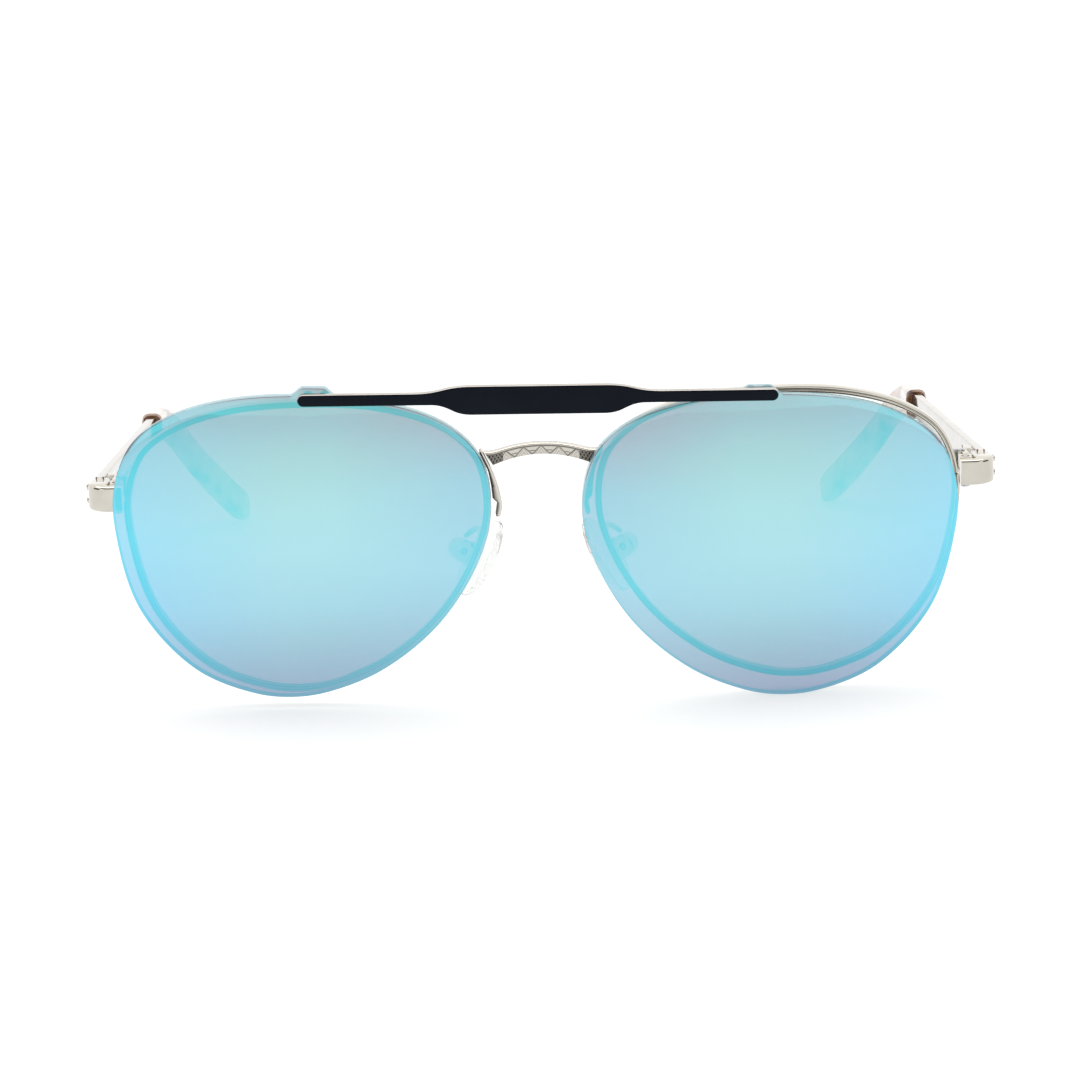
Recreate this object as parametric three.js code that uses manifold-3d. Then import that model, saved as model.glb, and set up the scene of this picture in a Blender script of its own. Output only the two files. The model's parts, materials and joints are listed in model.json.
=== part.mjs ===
// Aviator spectacles with a mirrored clip-on.
//
// Millimetres, +Z up. The front faces -Y, the temples run back along +Y and +X is the wearer's left.
// The spectacles stand on a table with the temples open, on a clip-on lens and the temple tips, so the
// front leans forward a little. One side is drawn at +X and mirrored for the other. The clip-on is a
// separate assembly, held by magnets, and sits slightly askew on the front.
//
// Frames, from the inside out:
//   eye     one lens: origin on the middle of the rim wire, +X temporal, turned by the wrap angle
//   front   origin midway between the lenses, at lens-centre height, +Z up along the leaning front
//   hinge   one temple: origin on the hinge axis, +Y along the temple, +Z along the axis

import * as THREE from 'three';
import { mergeVertices } from 'three/addons/utils/BufferGeometryUtils.js';
import Module from 'manifold-3d';

const wasm = await Module();
wasm.setup();

// ------------------------------------------------------------------ driving dimensions

const GAP = 0.3; // between neighbouring pieces
const HOLE_FIT = 0.25; // around a screw, pin or shank in its hole
const FORWARD_LEAN = 4; // degrees, top of the front towards -Y
const PANTOSCOPIC_TILT = 9; // degrees, temples down from the front's normal
const WRAP = 3.5; // degrees, temporal side of each lens turned back

// Outline of the clip-on lens, +x temporal and +z up about the lens centre, run clockwise.
const LENS_OUTLINE = [
  [0, 24.3], [11.3, 23.3], [20.2, 20.4], [26.1, 15.9], [28.9, 8.5], [28.6, 1.0],
  [25.2, -10.5], [16.8, -19.9], [7.7, -23.6], [2.0, -24.1], [-3.5, -23.2], [-12.2, -19.4],
  [-21.1, -11.8], [-27.1, -2.0], [-29.1, 6.0], [-27.5, 14.4], [-22.3, 19.7], [-12.1, 23.4],
];
const LENS_RADIUS = 130; // base curve of every lens
const SAG_TO_RIM = 2.5; // the lens centre stands this far in front of the rim's middle

const RIM_CENTRE_X = 36.4;
const RIM_INSET = 0.75; // rim's outer edge inside the clip-on lens's outline
const RIM_WIDTH = 1.0;
const RIM_DEPTH = 2.0;
const RIM_GROOVE_DEPTH = 0.55;
const RIM_SPLIT = 0.35; // gap between the two closing blocks

const CLEAR_LENS_THICKNESS = 1.3;
const CLEAR_LENS_SEAT = 0.1; // how far the bevel reaches into the rim's groove

const BRIDGE_TOP = 16.0;
const BRIDGE_HEIGHT = 1.55;
const BRIDGE_DEPTH = 1.6;
const BRIDGE_FRONT_Y = -2.0;
const PLATE_WIDTH = 0.75;
const PLATE_DEPTH = 2.0;

const LUG_Z = 8.2; // mid height of the end piece where it leaves the rim
const LUG_HEIGHT = 4.0;
const LUG_THICKNESS = 1.6;
const BLOCK_WIDTH = 3.0; // the end piece's thick part, in front of the hinge
const LUG_INNER_X = 64.85;
const BLOCK_CENTRE_X = 68.7;
const LUG_PLATE_Y = 1.8;
const LUG_CHAMFER = 0.35;
const CLOSING_BLOCK = { x: [64.85, 66.85], y: [2.95, 5.1], height: 1.8 };
const CLOSING_SCREW = { x: 65.85, y: 4.0, radius: 0.4, headRadius: 0.75, headHeight: 0.55 };

const HINGE = new THREE.Vector3(65.7, 10.2, 7.2); // hinge axis in the front frame
const KNUCKLE_RADIUS = 1.3;
const HINGE_HEIGHT = 4.1;
const HINGE_SCREW_RADIUS = 0.5;
const HINGE_HEAD_RADIUS = 0.9;
const HINGE_HEAD_HEIGHT = 0.6;
const HINGE_HEAD_POCKET = 0.65; // depth of the screw head's pocket in the upper knuckle
const KNUCKLE_HALF = 0.55; // half height of the temple's single knuckle
const KNUCKLE_CLEARANCE = 0.2;
const LEAF_THICKNESS = 1.0;
const FRONT_LEAF_START = -4.45; // from the hinge axis, along the temple
const TEMPLE_LEAF_END = 7.5;
const RIVET = { y: -3.4, z: 1.05, shankRadius: 0.35, headRadius: 0.65, headHeight: 0.4 };

const BLADE_INNER_X = 2.7; // from the hinge axis
const BLADE_THICKNESS = 1.5;
const BLADE_HEIGHT = 4.2;
const BLADE_LENGTH = 86;
const CORE_LENGTH = 14;
const CORE_THICKNESS = 1.0;
const CORE_HEIGHT = 2.2;
const TIP_THICKNESS = 3.6;
const TIP_HEIGHT = 5.8;
const TIP_STRAIGHT_LENGTH = 9;
const TIP_BEND_RADIUS = 22;
const TIP_BEND_ANGLE = 42; // degrees
const TIP_DROP_LENGTH = 20.2;
const TIP_INWARD_SET = 11.9; // inward offset of the end of the tip

const PAD_CENTRE = new THREE.Vector3(9.9, 8.6, -5.4);
const PAD_TILT = 32; // degrees, top towards the nose
const PAD_SPLAY = 24; // degrees, rear edges apart
const PAD_LENGTH = 13;
const PAD_WIDTH = 7.4;
const PAD_THICKNESS = 2.4;
const PAD_BOX = { outward: 3.8, along: -0.1, radius: 1.75, depth: 2.4, slot: 1.3, hollow: 1.15 };
const PAD_EYE = { radius: 0.85, hole: 0.55, footThickness: 0.5 };
const PAD_ARM_RADIUS = 0.45;
const PAD_ARM_LANDING = 0.45; // end of the arm's middle line above the round part of the box

const CLIP_CENTRE_X = 36.05;
const CLIP_STANDOFF = 3.4; // clip-on lenses in front of the rims
const CLIP_SHIFT_X = -1.15; // askew: shifted sideways
const CLIP_ROLL = 1.6; // degrees, askew: +X side lower
const CLIP_LENS_THICKNESS = 1.8;
const TAB = { x: -2.15, rise: 1.2, topWidth: 3.1, baseWidth: 7.2 };
const BAR = {
  halfLength: 36.4, bottom: 23.45, top: 25.3, back: -5.2, thickness: 1.5,
  centreBottom: 21.85, centreTop: 26.35, centreHalf: 10, bottomShoulder: 16.5, topShoulder: 19,
};
const BAR_ROLL = -0.55; // degrees, the bar sits askew on its lenses: +X side higher
const BAR_SHIFT_X = 0.42; // and to one side
const PIN_X = [32.4, 34.95]; // from the middle of the bar: inner pin, outer pin
const PIN_Z = 24.05; // in the bar's own frame
const PIN_RADIUS = 0.45;
const PIN_PROUD = 0.1; // behind the clip-on lens
const MAGNET_RADIUS = 0.8;
const MAGNET_THICKNESS = 0.7;

// ------------------------------------------------------------------ finishes

const SILVER = { color: 0xd6d2c9, roughness: 0.16, metalness: 1.0 };
const STEEL = { color: 0xb4b4b6, roughness: 0.3, metalness: 1.0 };
const NAVY = { color: 0x1b202a, roughness: 0.55, metalness: 0.0 };
const MIRROR = { color: 0x9fd9e6, roughness: 0.06, metalness: 0.9 };
const CLEAR_LENS = { color: 0xf2f8f8, roughness: 0.03, metalness: 0.0, transparent: true, opacity: 0.2 };
const SILICONE = { color: 0xf4f3ee, roughness: 0.3, metalness: 0.0, transparent: true, opacity: 0.5 };
const ACETATE = { color: 0xcdb6a6, roughness: 0.2, metalness: 0.0 };

// ------------------------------------------------------------------ closed bodies

const radians = THREE.MathUtils.degToRad;
const vector = (x, y, z) => new THREE.Vector3(x, y, z);

// Triangles over one flat or nearly flat ring, all turning the same way as the ring or all against it.
function capTriangles(ring, firstIndex, withRing) {
  const normal = vector(0, 0, 0);
  ring.forEach((point, i) => normal.add(point.clone().cross(ring[(i + 1) % ring.length])));
  normal.normalize();
  const across = ring[1].clone().sub(ring[0]).projectOnPlane(normal).normalize();
  const up = normal.clone().cross(across);
  const flat = ring.map((point) => new THREE.Vector2(point.dot(across), point.dot(up)));
  return THREE.ShapeUtils.triangulateShape(flat, []).map(([a, b, c]) => {
    const positive = THREE.ShapeUtils.area([flat[a], flat[b], flat[c]]) > 0;
    const ordered = positive === withRing ? [a, b, c] : [a, c, b];
    return ordered.map((index) => index + firstIndex);
  });
}

function signedVolume(points, triangles) {
  return triangles.reduce((sum, [a, b, c]) => (
    sum + points[a].dot(points[b].clone().cross(points[c])) / 6
  ), 0);
}

// Closed skin over a row of rings that have the same number of points, capped at both ends.
function skin(rings) {
  const count = rings[0].length;
  const points = rings.flat();
  const triangles = [];
  for (let r = 0; r + 1 < rings.length; r += 1) {
    for (let i = 0; i < count; i += 1) {
      const here = r * count + i;
      const beside = r * count + ((i + 1) % count);
      triangles.push([here, beside, beside + count], [here, beside + count, here + count]);
    }
  }
  const lastIndex = (rings.length - 1) * count;
  triangles.push(...capTriangles(rings[0], 0, false));
  triangles.push(...capTriangles(rings.at(-1), lastIndex, true));

  const outward = signedVolume(points, triangles) > 0;
  const geometry = new THREE.BufferGeometry().setFromPoints(points);
  geometry.setIndex(triangles.flatMap(([a, b, c]) => (outward ? [a, b, c] : [a, c, b])));
  return geometry;
}

// Skin swept through stations: each has a centre, two directions and a contour of [across, up] pairs.
function sweep(stations) {
  return skin(stations.map(({ centre, across, up, contour }) => contour.map(([a, u]) => (
    centre.clone().addScaledVector(across, a).addScaledVector(up, u)
  ))));
}

// Rectangle of the given width and height with cut corners.
function chamferedRectangle(width, height, chamfer) {
  const [w, h] = [width / 2, height / 2];
  return [
    [-w + chamfer, -h], [w - chamfer, -h], [w, -h + chamfer], [w, h - chamfer],
    [w - chamfer, h], [-w + chamfer, h], [-w, h - chamfer], [-w, -h + chamfer],
  ];
}

function box([x0, x1], [y0, y1], [z0, z1]) {
  const geometry = new THREE.BoxGeometry(x1 - x0, y1 - y0, z1 - z0);
  return geometry.translate((x0 + x1) / 2, (y0 + y1) / 2, (z0 + z1) / 2);
}

// Cylinder between two points.
function rod(from, to, radius, segments = 14) {
  const along = to.clone().sub(from);
  const geometry = new THREE.CylinderGeometry(radius, radius, along.length(), segments);
  geometry.applyQuaternion(new THREE.Quaternion().setFromUnitVectors(vector(0, 1, 0), along.normalize()));
  const middle = from.clone().add(to).multiplyScalar(0.5);
  return geometry.translate(middle.x, middle.y, middle.z);
}

// Flat shape drawn in x and z, standing from y = front back through the given depth.
function plateXZ(shape, front, depth, curveSegments = 8) {
  const geometry = new THREE.ExtrudeGeometry(shape, { depth, bevelEnabled: false, curveSegments });
  geometry.rotateX(Math.PI / 2);
  return geometry.translate(0, front + depth, 0);
}

function solidOf(geometry) {
  const plain = geometry.clone();
  plain.deleteAttribute('normal');
  plain.deleteAttribute('uv');
  const merged = mergeVertices(plain, 1e-4);
  return new wasm.Manifold(new wasm.Mesh({
    numProp: 3,
    vertProperties: new Float32Array(merged.getAttribute('position').array),
    triVerts: new Uint32Array(merged.index.array),
  }));
}

function geometryOf(solid) {
  const mesh = solid.getMesh();
  const geometry = new THREE.BufferGeometry();
  geometry.setAttribute('position', new THREE.BufferAttribute(mesh.vertProperties, 3));
  geometry.setIndex(new THREE.BufferAttribute(mesh.triVerts, 1));
  return geometry;
}

function joined(...bodies) {
  return geometryOf(bodies.map(solidOf).reduce((sum, solid) => sum.add(solid)));
}

function cutFrom(body, ...tools) {
  return geometryOf(tools.map(solidOf).reduce((rest, tool) => rest.subtract(tool), solidOf(body)));
}

function addPart(group, name, geometry, finish) {
  const mesh = new THREE.Mesh(geometry, new THREE.MeshStandardMaterial(finish));
  mesh.name = name;
  group.add(mesh);
}

// ------------------------------------------------------------------ lens outline and base curve

const outlineCurve = new THREE.CatmullRomCurve3(
  LENS_OUTLINE.map(([x, z]) => vector(x, 0, z)), true, 'centripetal',
);
outlineCurve.arcLengthDivisions = 720;

// Point of the outline at t (0 to 1 clockwise from the top), moved inwards.
function outlinePoint(t, insetBy) {
  const turn = THREE.MathUtils.euclideanModulo(t, 1);
  const point = outlineCurve.getPointAt(turn);
  const along = outlineCurve.getTangentAt(turn);
  return vector(point.x + along.z * insetBy, 0, point.z - along.x * insetBy);
}

// The t whose outline point lies nearest to the given x and z.
function outlineParameter(x, z) {
  const steps = 1440;
  let best = 0;
  let shortest = Infinity;
  for (let i = 0; i < steps; i += 1) {
    const distance = outlinePoint(i / steps, 0).distanceTo(vector(x, 0, z));
    if (distance < shortest) {
      shortest = distance;
      best = i / steps;
    }
  }
  return best;
}

// Distance behind the rim plane of the base curve at x, z in the eye frame.
function baseCurve(x, z) {
  return (x * x + z * z) / (2 * LENS_RADIUS) - SAG_TO_RIM;
}

// Domed body between rings given as { inset, scale, y, rise }, on the base curve.
function domedBody(parameters, rings) {
  return skin(rings.map(({ inset, scale, y, rise = () => 0 }) => parameters.map((t) => {
    const point = outlinePoint(t, inset);
    const x = point.x * scale;
    const z = point.z * scale + rise(point.x, point.z);
    return vector(x, baseCurve(x, z) + y, z);
  })));
}

const evenParameters = (count, start = 0) => Array.from({ length: count }, (_, i) => start + i / count);

// ------------------------------------------------------------------ front: rims, lenses, bridge

const RIM_STATIONS = 56;
const rimSplitAt = outlineParameter(28.8, LUG_Z);

function rimWire() {
  const half = RIM_DEPTH / 2;
  const grooveHalf = RIM_DEPTH / 4;
  const contour = [
    [0, -half], [0, half], [RIM_WIDTH, half], [RIM_WIDTH, grooveHalf],
    [RIM_WIDTH - RIM_GROOVE_DEPTH, 0], [RIM_WIDTH, -grooveHalf], [RIM_WIDTH, -half],
  ];
  const splitShare = RIM_SPLIT / outlineCurve.getLength();
  return sweep(Array.from({ length: RIM_STATIONS + 1 }, (_, i) => {
    const t = rimSplitAt + splitShare / 2 + (i / RIM_STATIONS) * (1 - splitShare);
    const centre = outlinePoint(t, RIM_INSET);
    const across = outlinePoint(t, RIM_INSET + 1).sub(centre);
    centre.y = baseCurve(centre.x, centre.z);
    return { centre, across, up: vector(0, 1, 0), contour };
  }));
}

function clearLens() {
  const face = RIM_INSET + RIM_WIDTH + GAP;
  const tip = RIM_INSET + RIM_WIDTH - CLEAR_LENS_SEAT;
  const half = CLEAR_LENS_THICKNESS / 2;
  return domedBody(evenParameters(RIM_STATIONS, rimSplitAt), [
    { inset: face, scale: 0.5, y: -half },
    { inset: face, scale: 1, y: -half },
    { inset: tip, scale: 1, y: 0 },
    { inset: face, scale: 1, y: half },
    { inset: face, scale: 0.5, y: half },
  ]);
}

// Arched bar between the bridge plates: flatter towards its ends.
function bridge() {
  const bottom = BRIDGE_TOP - BRIDGE_HEIGHT;
  const shape = new THREE.Shape();
  shape.moveTo(-7.3, bottom - 1.8);
  shape.quadraticCurveTo(0, bottom + 1.4, 7.3, bottom - 1.8);
  shape.lineTo(8.6, BRIDGE_TOP - 1.2);
  shape.bezierCurveTo(6.9, BRIDGE_TOP - 1.6, 5.3, BRIDGE_TOP, 0, BRIDGE_TOP);
  shape.bezierCurveTo(-5.3, BRIDGE_TOP, -6.9, BRIDGE_TOP - 1.6, -8.6, BRIDGE_TOP - 1.2);
  shape.closePath();
  return plateXZ(shape, BRIDGE_FRONT_Y, BRIDGE_DEPTH, 10);
}

// Crescent beside the rim: free at both ends and thicker in the middle, where it is soldered on.
function bridgePlate() {
  const noseEdge = [[9.0, 15.1], [7.75, 12.3], [6.75, 9.2], [6.25, 6.1], [6.6, 4.4]];
  const solderedEdge = [[7.7, 7.4], [7.85, 9.4], [8.2, 11.5]];
  const shape = new THREE.Shape();
  shape.moveTo(...noseEdge[0]);
  shape.splineThru(noseEdge.slice(1).map(([x, z]) => new THREE.Vector2(x, z)));
  shape.lineTo(6.6 + PLATE_WIDTH, 4.6);
  shape.lineTo(6.25 + PLATE_WIDTH, 6.7);
  solderedEdge.forEach(([x, z]) => shape.lineTo(x, z));
  shape.lineTo(7.7 + PLATE_WIDTH, 12.2);
  shape.lineTo(8.85 + PLATE_WIDTH, 14.8);
  shape.closePath();
  return plateXZ(shape, -PLATE_DEPTH, PLATE_DEPTH, 4);
}

// ------------------------------------------------------------------ end piece and hinge

// Directions of the hinge frame, seen in the front frame.
const templeAlong = vector(0, Math.cos(radians(PANTOSCOPIC_TILT)), -Math.sin(radians(PANTOSCOPIC_TILT)));
const hingeUp = vector(0, Math.sin(radians(PANTOSCOPIC_TILT)), Math.cos(radians(PANTOSCOPIC_TILT)));

// Sides and end of the end piece's block, seen in the hinge frame.
const BLOCK_OUTER_X = BLOCK_CENTRE_X + BLOCK_WIDTH / 2 - HINGE.x;
const BLOCK_INNER_X = BLOCK_CENTRE_X - BLOCK_WIDTH / 2 - HINGE.x;
const BLOCK_END_Y = -0.25;

function rivetHoles(fromX, toX) {
  return [-RIVET.z, RIVET.z].map((z) => (
    rod(vector(fromX, RIVET.y, z), vector(toX, RIVET.y, z), RIVET.shankRadius + HOLE_FIT, 12)
  ));
}

function hingeFramed(geometry) {
  return geometry.clone().rotateX(-radians(PANTOSCOPIC_TILT)).translate(HINGE.x, HINGE.y, HINGE.z);
}

// Plate beside the rim that turns back at the corner into the thick block in front of the hinge.
function endPiece() {
  const cornerRadius = 1.7;
  const cornerCentre = vector(BLOCK_CENTRE_X - cornerRadius, LUG_PLATE_Y + cornerRadius, 0);
  const frontUp = vector(0, 0, 1);
  const stations = [{
    centre: vector(LUG_INNER_X, LUG_PLATE_Y, LUG_Z), across: vector(0, -1, 0), up: frontUp,
    contour: chamferedRectangle(LUG_THICKNESS, LUG_HEIGHT, LUG_CHAMFER),
  }];
  const cornerSteps = 6;
  const heightOver = (y) => HINGE.z + (HINGE.y - y) * Math.tan(radians(PANTOSCOPIC_TILT));
  for (let i = 0; i <= cornerSteps; i += 1) {
    const share = i / cornerSteps;
    const angle = (share * Math.PI) / 2;
    const across = vector(Math.sin(angle), -Math.cos(angle), 0);
    const centre = cornerCentre.clone().addScaledVector(across, cornerRadius);
    centre.z = THREE.MathUtils.lerp(LUG_Z, heightOver(centre.y), share);
    stations.push({
      centre,
      across,
      up: frontUp.clone().lerp(hingeUp, share).normalize(),
      contour: chamferedRectangle(
        THREE.MathUtils.lerp(LUG_THICKNESS, BLOCK_WIDTH, share), LUG_HEIGHT, LUG_CHAMFER,
      ),
    });
  }
  const blockEnd = HINGE.clone().addScaledVector(templeAlong, BLOCK_END_Y);
  blockEnd.x = BLOCK_CENTRE_X;
  stations.push({ ...stations.at(-1), centre: blockEnd });
  const holes = rivetHoles(BLOCK_INNER_X - 1, BLOCK_OUTER_X + 1);
  return cutFrom(sweep(stations), ...holes.map(hingeFramed));
}

// One closing block, in the front frame: side is +1 for the upper and -1 for the lower one.
function closingBlock(side) {
  const near = LUG_Z + (side * RIM_SPLIT) / 2;
  const far = near + side * CLOSING_BLOCK.height;
  const body = box(CLOSING_BLOCK.x, CLOSING_BLOCK.y, [Math.min(near, far), Math.max(near, far)]);
  const { x, y, radius } = CLOSING_SCREW;
  return cutFrom(body, rod(vector(x, y, LUG_Z - 4), vector(x, y, LUG_Z + 4), radius + HOLE_FIT, 12));
}

// Screw with a slotted cheese head, drawn with its head at the top and its tip at z = 0.
function slottedScrew(shankRadius, shankLength, headRadius, headHeight) {
  const profile = [
    [0, 0], [shankRadius, 0], [shankRadius, shankLength], [headRadius, shankLength],
    [headRadius, shankLength + headHeight], [0, shankLength + headHeight],
  ].map(([r, z]) => new THREE.Vector2(r, z));
  const body = new THREE.LatheGeometry(profile, 16).rotateX(Math.PI / 2);
  const slotDepth = headHeight * 0.45;
  const slotHalfWidth = headRadius * 0.18;
  const top = shankLength + headHeight;
  return cutFrom(body, box(
    [-headRadius - 1, headRadius + 1], [-slotHalfWidth, slotHalfWidth], [top - slotDepth, top + 1],
  ));
}

function closingScrew() {
  const length = 2 * CLOSING_BLOCK.height + RIM_SPLIT;
  const screw = slottedScrew(
    CLOSING_SCREW.radius, length + GAP, CLOSING_SCREW.headRadius, CLOSING_SCREW.headHeight,
  );
  return screw.rotateX(Math.PI).translate(CLOSING_SCREW.x, CLOSING_SCREW.y, LUG_Z + length / 2);
}

// Domed rivet through the block and the front leaf.
function hingeRivet(z) {
  const { y, shankRadius, headRadius, headHeight } = RIVET;
  const shankStart = BLOCK_INNER_X - GAP - LEAF_THICKNESS + 0.2;
  const shankEnd = BLOCK_OUTER_X + GAP;
  const profile = [
    [0, shankStart], [shankRadius, shankStart], [shankRadius, shankEnd], [headRadius, shankEnd],
    [headRadius * 0.8, shankEnd + headHeight * 0.7], [headRadius * 0.4, shankEnd + headHeight],
    [0, shankEnd + headHeight],
  ].map(([r, x]) => new THREE.Vector2(r, x));
  return new THREE.LatheGeometry(profile, 12).rotateZ(-Math.PI / 2).translate(0, y, z);
}

function hingeBore() {
  return rod(vector(0, 0, -HINGE_HEIGHT), vector(0, 0, HINGE_HEIGHT), HINGE_SCREW_RADIUS + HOLE_FIT);
}

// Two knuckles and a plate that lies on the inner side of the block. Hinge frame.
function frontHingeLeaf() {
  const half = HINGE_HEIGHT / 2;
  const low = KNUCKLE_HALF + KNUCKLE_CLEARANCE;
  const plate = box(
    [BLOCK_INNER_X - GAP - LEAF_THICKNESS, BLOCK_INNER_X - GAP], [FRONT_LEAF_START, 0], [-half, half],
  );
  const knuckles = rod(vector(0, 0, -half), vector(0, 0, half), KNUCKLE_RADIUS);
  const middleRelief = box(
    [-3, 3], [-KNUCKLE_RADIUS - KNUCKLE_CLEARANCE, KNUCKLE_RADIUS + 1], [-low, low],
  );
  const headPocket = rod(
    vector(0, 0, half - HINGE_HEAD_POCKET), vector(0, 0, half + 1), HINGE_HEAD_RADIUS + 0.2,
  );
  return cutFrom(
    joined(plate, knuckles), middleRelief, hingeBore(), headPocket, ...rivetHoles(-3, 3),
  );
}

// One knuckle and a plate that lies on the inner side of the blade. Hinge frame.
function templeHingeLeaf() {
  const half = HINGE_HEIGHT / 2;
  const plateOuter = BLADE_INNER_X - GAP;
  const plateStart = KNUCKLE_RADIUS + 0.45;
  const plate = box([plateOuter - LEAF_THICKNESS, plateOuter], [plateStart, TEMPLE_LEAF_END], [-half, half]);
  const knuckle = rod(vector(0, 0, -KNUCKLE_HALF), vector(0, 0, KNUCKLE_HALF), KNUCKLE_RADIUS);
  const neck = box([0.2, plateOuter], [0, plateStart + 0.5], [-KNUCKLE_HALF, KNUCKLE_HALF]);
  return cutFrom(joined(plate, knuckle, neck), hingeBore());
}

function hingeScrew() {
  const half = HINGE_HEIGHT / 2;
  const shankLength = 2 * half - HINGE_HEAD_POCKET + 0.2;
  const screw = slottedScrew(HINGE_SCREW_RADIUS, shankLength, HINGE_HEAD_RADIUS, HINGE_HEAD_HEIGHT);
  return screw.translate(0, 0, -half);
}

// ------------------------------------------------------------------ temple

// Blade with a thinner core at its rear end, which the tip is pushed over. Hinge frame.
function templeBlade() {
  const centreX = BLADE_INNER_X + BLADE_THICKNESS / 2;
  const at = (y, contour) => ({
    centre: vector(centreX, y, 0), across: vector(1, 0, 0), up: vector(0, 0, 1), contour,
  });
  const full = chamferedRectangle(BLADE_THICKNESS, BLADE_HEIGHT, 0.3);
  const core = chamferedRectangle(CORE_THICKNESS, CORE_HEIGHT, 0.2);
  return sweep([
    at(0.05, full), at(BLADE_LENGTH, full), at(BLADE_LENGTH + 0.05, core),
    at(BLADE_LENGTH + CORE_LENGTH, core),
  ]);
}

// Centre line of the tip: straight, then bent down and gently inwards. Share runs from 0 to 1.
function tipStation(share) {
  const bend = radians(TIP_BEND_ANGLE);
  const bendLength = TIP_BEND_RADIUS * bend;
  const length = TIP_STRAIGHT_LENGTH + bendLength + TIP_DROP_LENGTH;
  const along = share * length;
  const inBend = THREE.MathUtils.clamp(along - TIP_STRAIGHT_LENGTH, 0, bendLength);
  const angle = inBend / TIP_BEND_RADIUS;
  const afterBend = Math.max(along - TIP_STRAIGHT_LENGTH - bendLength, 0);
  const beforeBend = Math.min(along, TIP_STRAIGHT_LENGTH);
  const y = beforeBend + TIP_BEND_RADIUS * Math.sin(angle) + afterBend * Math.cos(angle);
  const z = -TIP_BEND_RADIUS * (1 - Math.cos(angle)) - afterBend * Math.sin(angle);
  const inShare = THREE.MathUtils.clamp(
    (along - TIP_STRAIGHT_LENGTH) / (length - TIP_STRAIGHT_LENGTH), 0, 1,
  );
  const inward = TIP_INWARD_SET * inShare ** 1.6;
  return {
    centre: vector(BLADE_INNER_X + BLADE_THICKNESS / 2 - inward, BLADE_LENGTH + GAP + y, z),
    up: vector(0, Math.sin(angle), Math.cos(angle)),
  };
}

// Sleeve and paddle: widest before the end, which is rounded off. Hinge frame.
function templeTip() {
  const steps = 14;
  const stations = Array.from({ length: steps + 1 }, (_, i) => {
    const share = i / steps;
    const paddle = 0.92 + 0.24 * THREE.MathUtils.smoothstep(share, 0.45, 0.9);
    return {
      ...tipStation(share),
      across: vector(1, 0, 0),
      contour: chamferedRectangle(TIP_THICKNESS - 0.6 * share, TIP_HEIGHT * paddle, 0.9),
    };
  });
  const end = stations.at(-1);
  const beyond = end.centre.clone().sub(stations.at(-2).centre).normalize();
  [[1.1, 0.94], [2.1, 0.78], [2.75, 0.55], [3.0, 0.3]].forEach(([distance, scale]) => {
    stations.push({
      ...end,
      centre: end.centre.clone().addScaledVector(beyond, distance),
      contour: end.contour.map(([a, u]) => [a * scale, u * scale]),
    });
  });
  const centreX = BLADE_INNER_X + BLADE_THICKNESS / 2;
  const socketHalf = [CORE_THICKNESS / 2 + 0.25, CORE_HEIGHT / 2 + 0.25];
  const socket = box(
    [centreX - socketHalf[0], centreX + socketHalf[0]],
    [BLADE_LENGTH - 1, BLADE_LENGTH + CORE_LENGTH + GAP],
    [-socketHalf[1], socketHalf[1]],
  );
  return cutFrom(sweep(stations), socket);
}

// ------------------------------------------------------------------ nose pads

// Rounded pad: x is its thickness (nose side at -x), y its width and z its length. Pad frame.
function nosePad() {
  const rim = [];
  const steps = 20;
  for (let i = 0; i < steps; i += 1) {
    const angle = (i / steps) * 2 * Math.PI;
    const taper = 1 - 0.14 * Math.sin(angle); // narrower at the top
    rim.push([(PAD_WIDTH / 2) * Math.cos(angle) * taper, (PAD_LENGTH / 2) * Math.sin(angle)]);
  }
  const half = PAD_THICKNESS / 2;
  const layer = (x, scale) => rim.map(([y, z]) => vector(x, y * scale, z * scale));
  return skin([
    layer(-half, 0.72), layer(-half * 0.55, 0.94), layer(0, 1), layer(half * 0.55, 0.94), layer(half, 0.72),
  ]);
}

function padBore() {
  const { outward, along, depth } = PAD_BOX;
  return rod(vector(outward, -depth, along), vector(outward, depth, along), PAD_EYE.hole, 12);
}

// Metal post on the back of the pad, whose eye sits in the box. Pad frame.
function padPost() {
  const face = PAD_THICKNESS / 2 + GAP;
  const { outward, along, slot } = PAD_BOX;
  const eyeHalf = slot / 2 - HOLE_FIT;
  const foot = box([face, face + PAD_EYE.footThickness], [-1.3, 1.3], [along - 1.9, along + 1.9]);
  const neck = box([face, outward], [-eyeHalf, eyeHalf], [along - 0.75, along + 0.75]);
  const eye = rod(vector(outward, -eyeHalf, along), vector(outward, eyeHalf, along), PAD_EYE.radius, 14);
  return cutFrom(joined(foot, neck, eye), padBore());
}

// D-shaped box, open towards the pad. Pad frame.
function padBox() {
  const { outward, along, radius, depth, slot, hollow } = PAD_BOX;
  const halfDepth = depth / 2;
  const mouth = PAD_THICKNESS / 2 + GAP + PAD_EYE.footThickness + HOLE_FIT;
  const drum = rod(vector(outward, -halfDepth, along), vector(outward, halfDepth, along), radius, 20);
  const body = box([mouth, outward], [-halfDepth, halfDepth], [along - radius, along + radius]);
  const inside = box(
    [mouth - 1, outward + hollow], [-slot / 2, slot / 2], [along - hollow, along + hollow],
  );
  const beyondMouth = box([mouth - radius, mouth], [-depth, depth], [along - 2 * radius, along + 2 * radius]);
  return cutFrom(joined(drum, body), inside, beyondMouth, padBore());
}

function padScrew() {
  const { outward, along, depth } = PAD_BOX;
  const screw = slottedScrew(PAD_EYE.hole - HOLE_FIT, depth + HOLE_FIT, 0.6, 0.35);
  return screw.rotateX(-Math.PI / 2).translate(outward, -depth / 2, along);
}

function placePad(object) {
  object.position.copy(PAD_CENTRE);
  object.rotation.order = 'ZYX';
  object.rotation.z = -radians(PAD_SPLAY);
  object.rotation.y = -radians(PAD_TILT);
  object.updateMatrix();
  return object;
}

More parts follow.
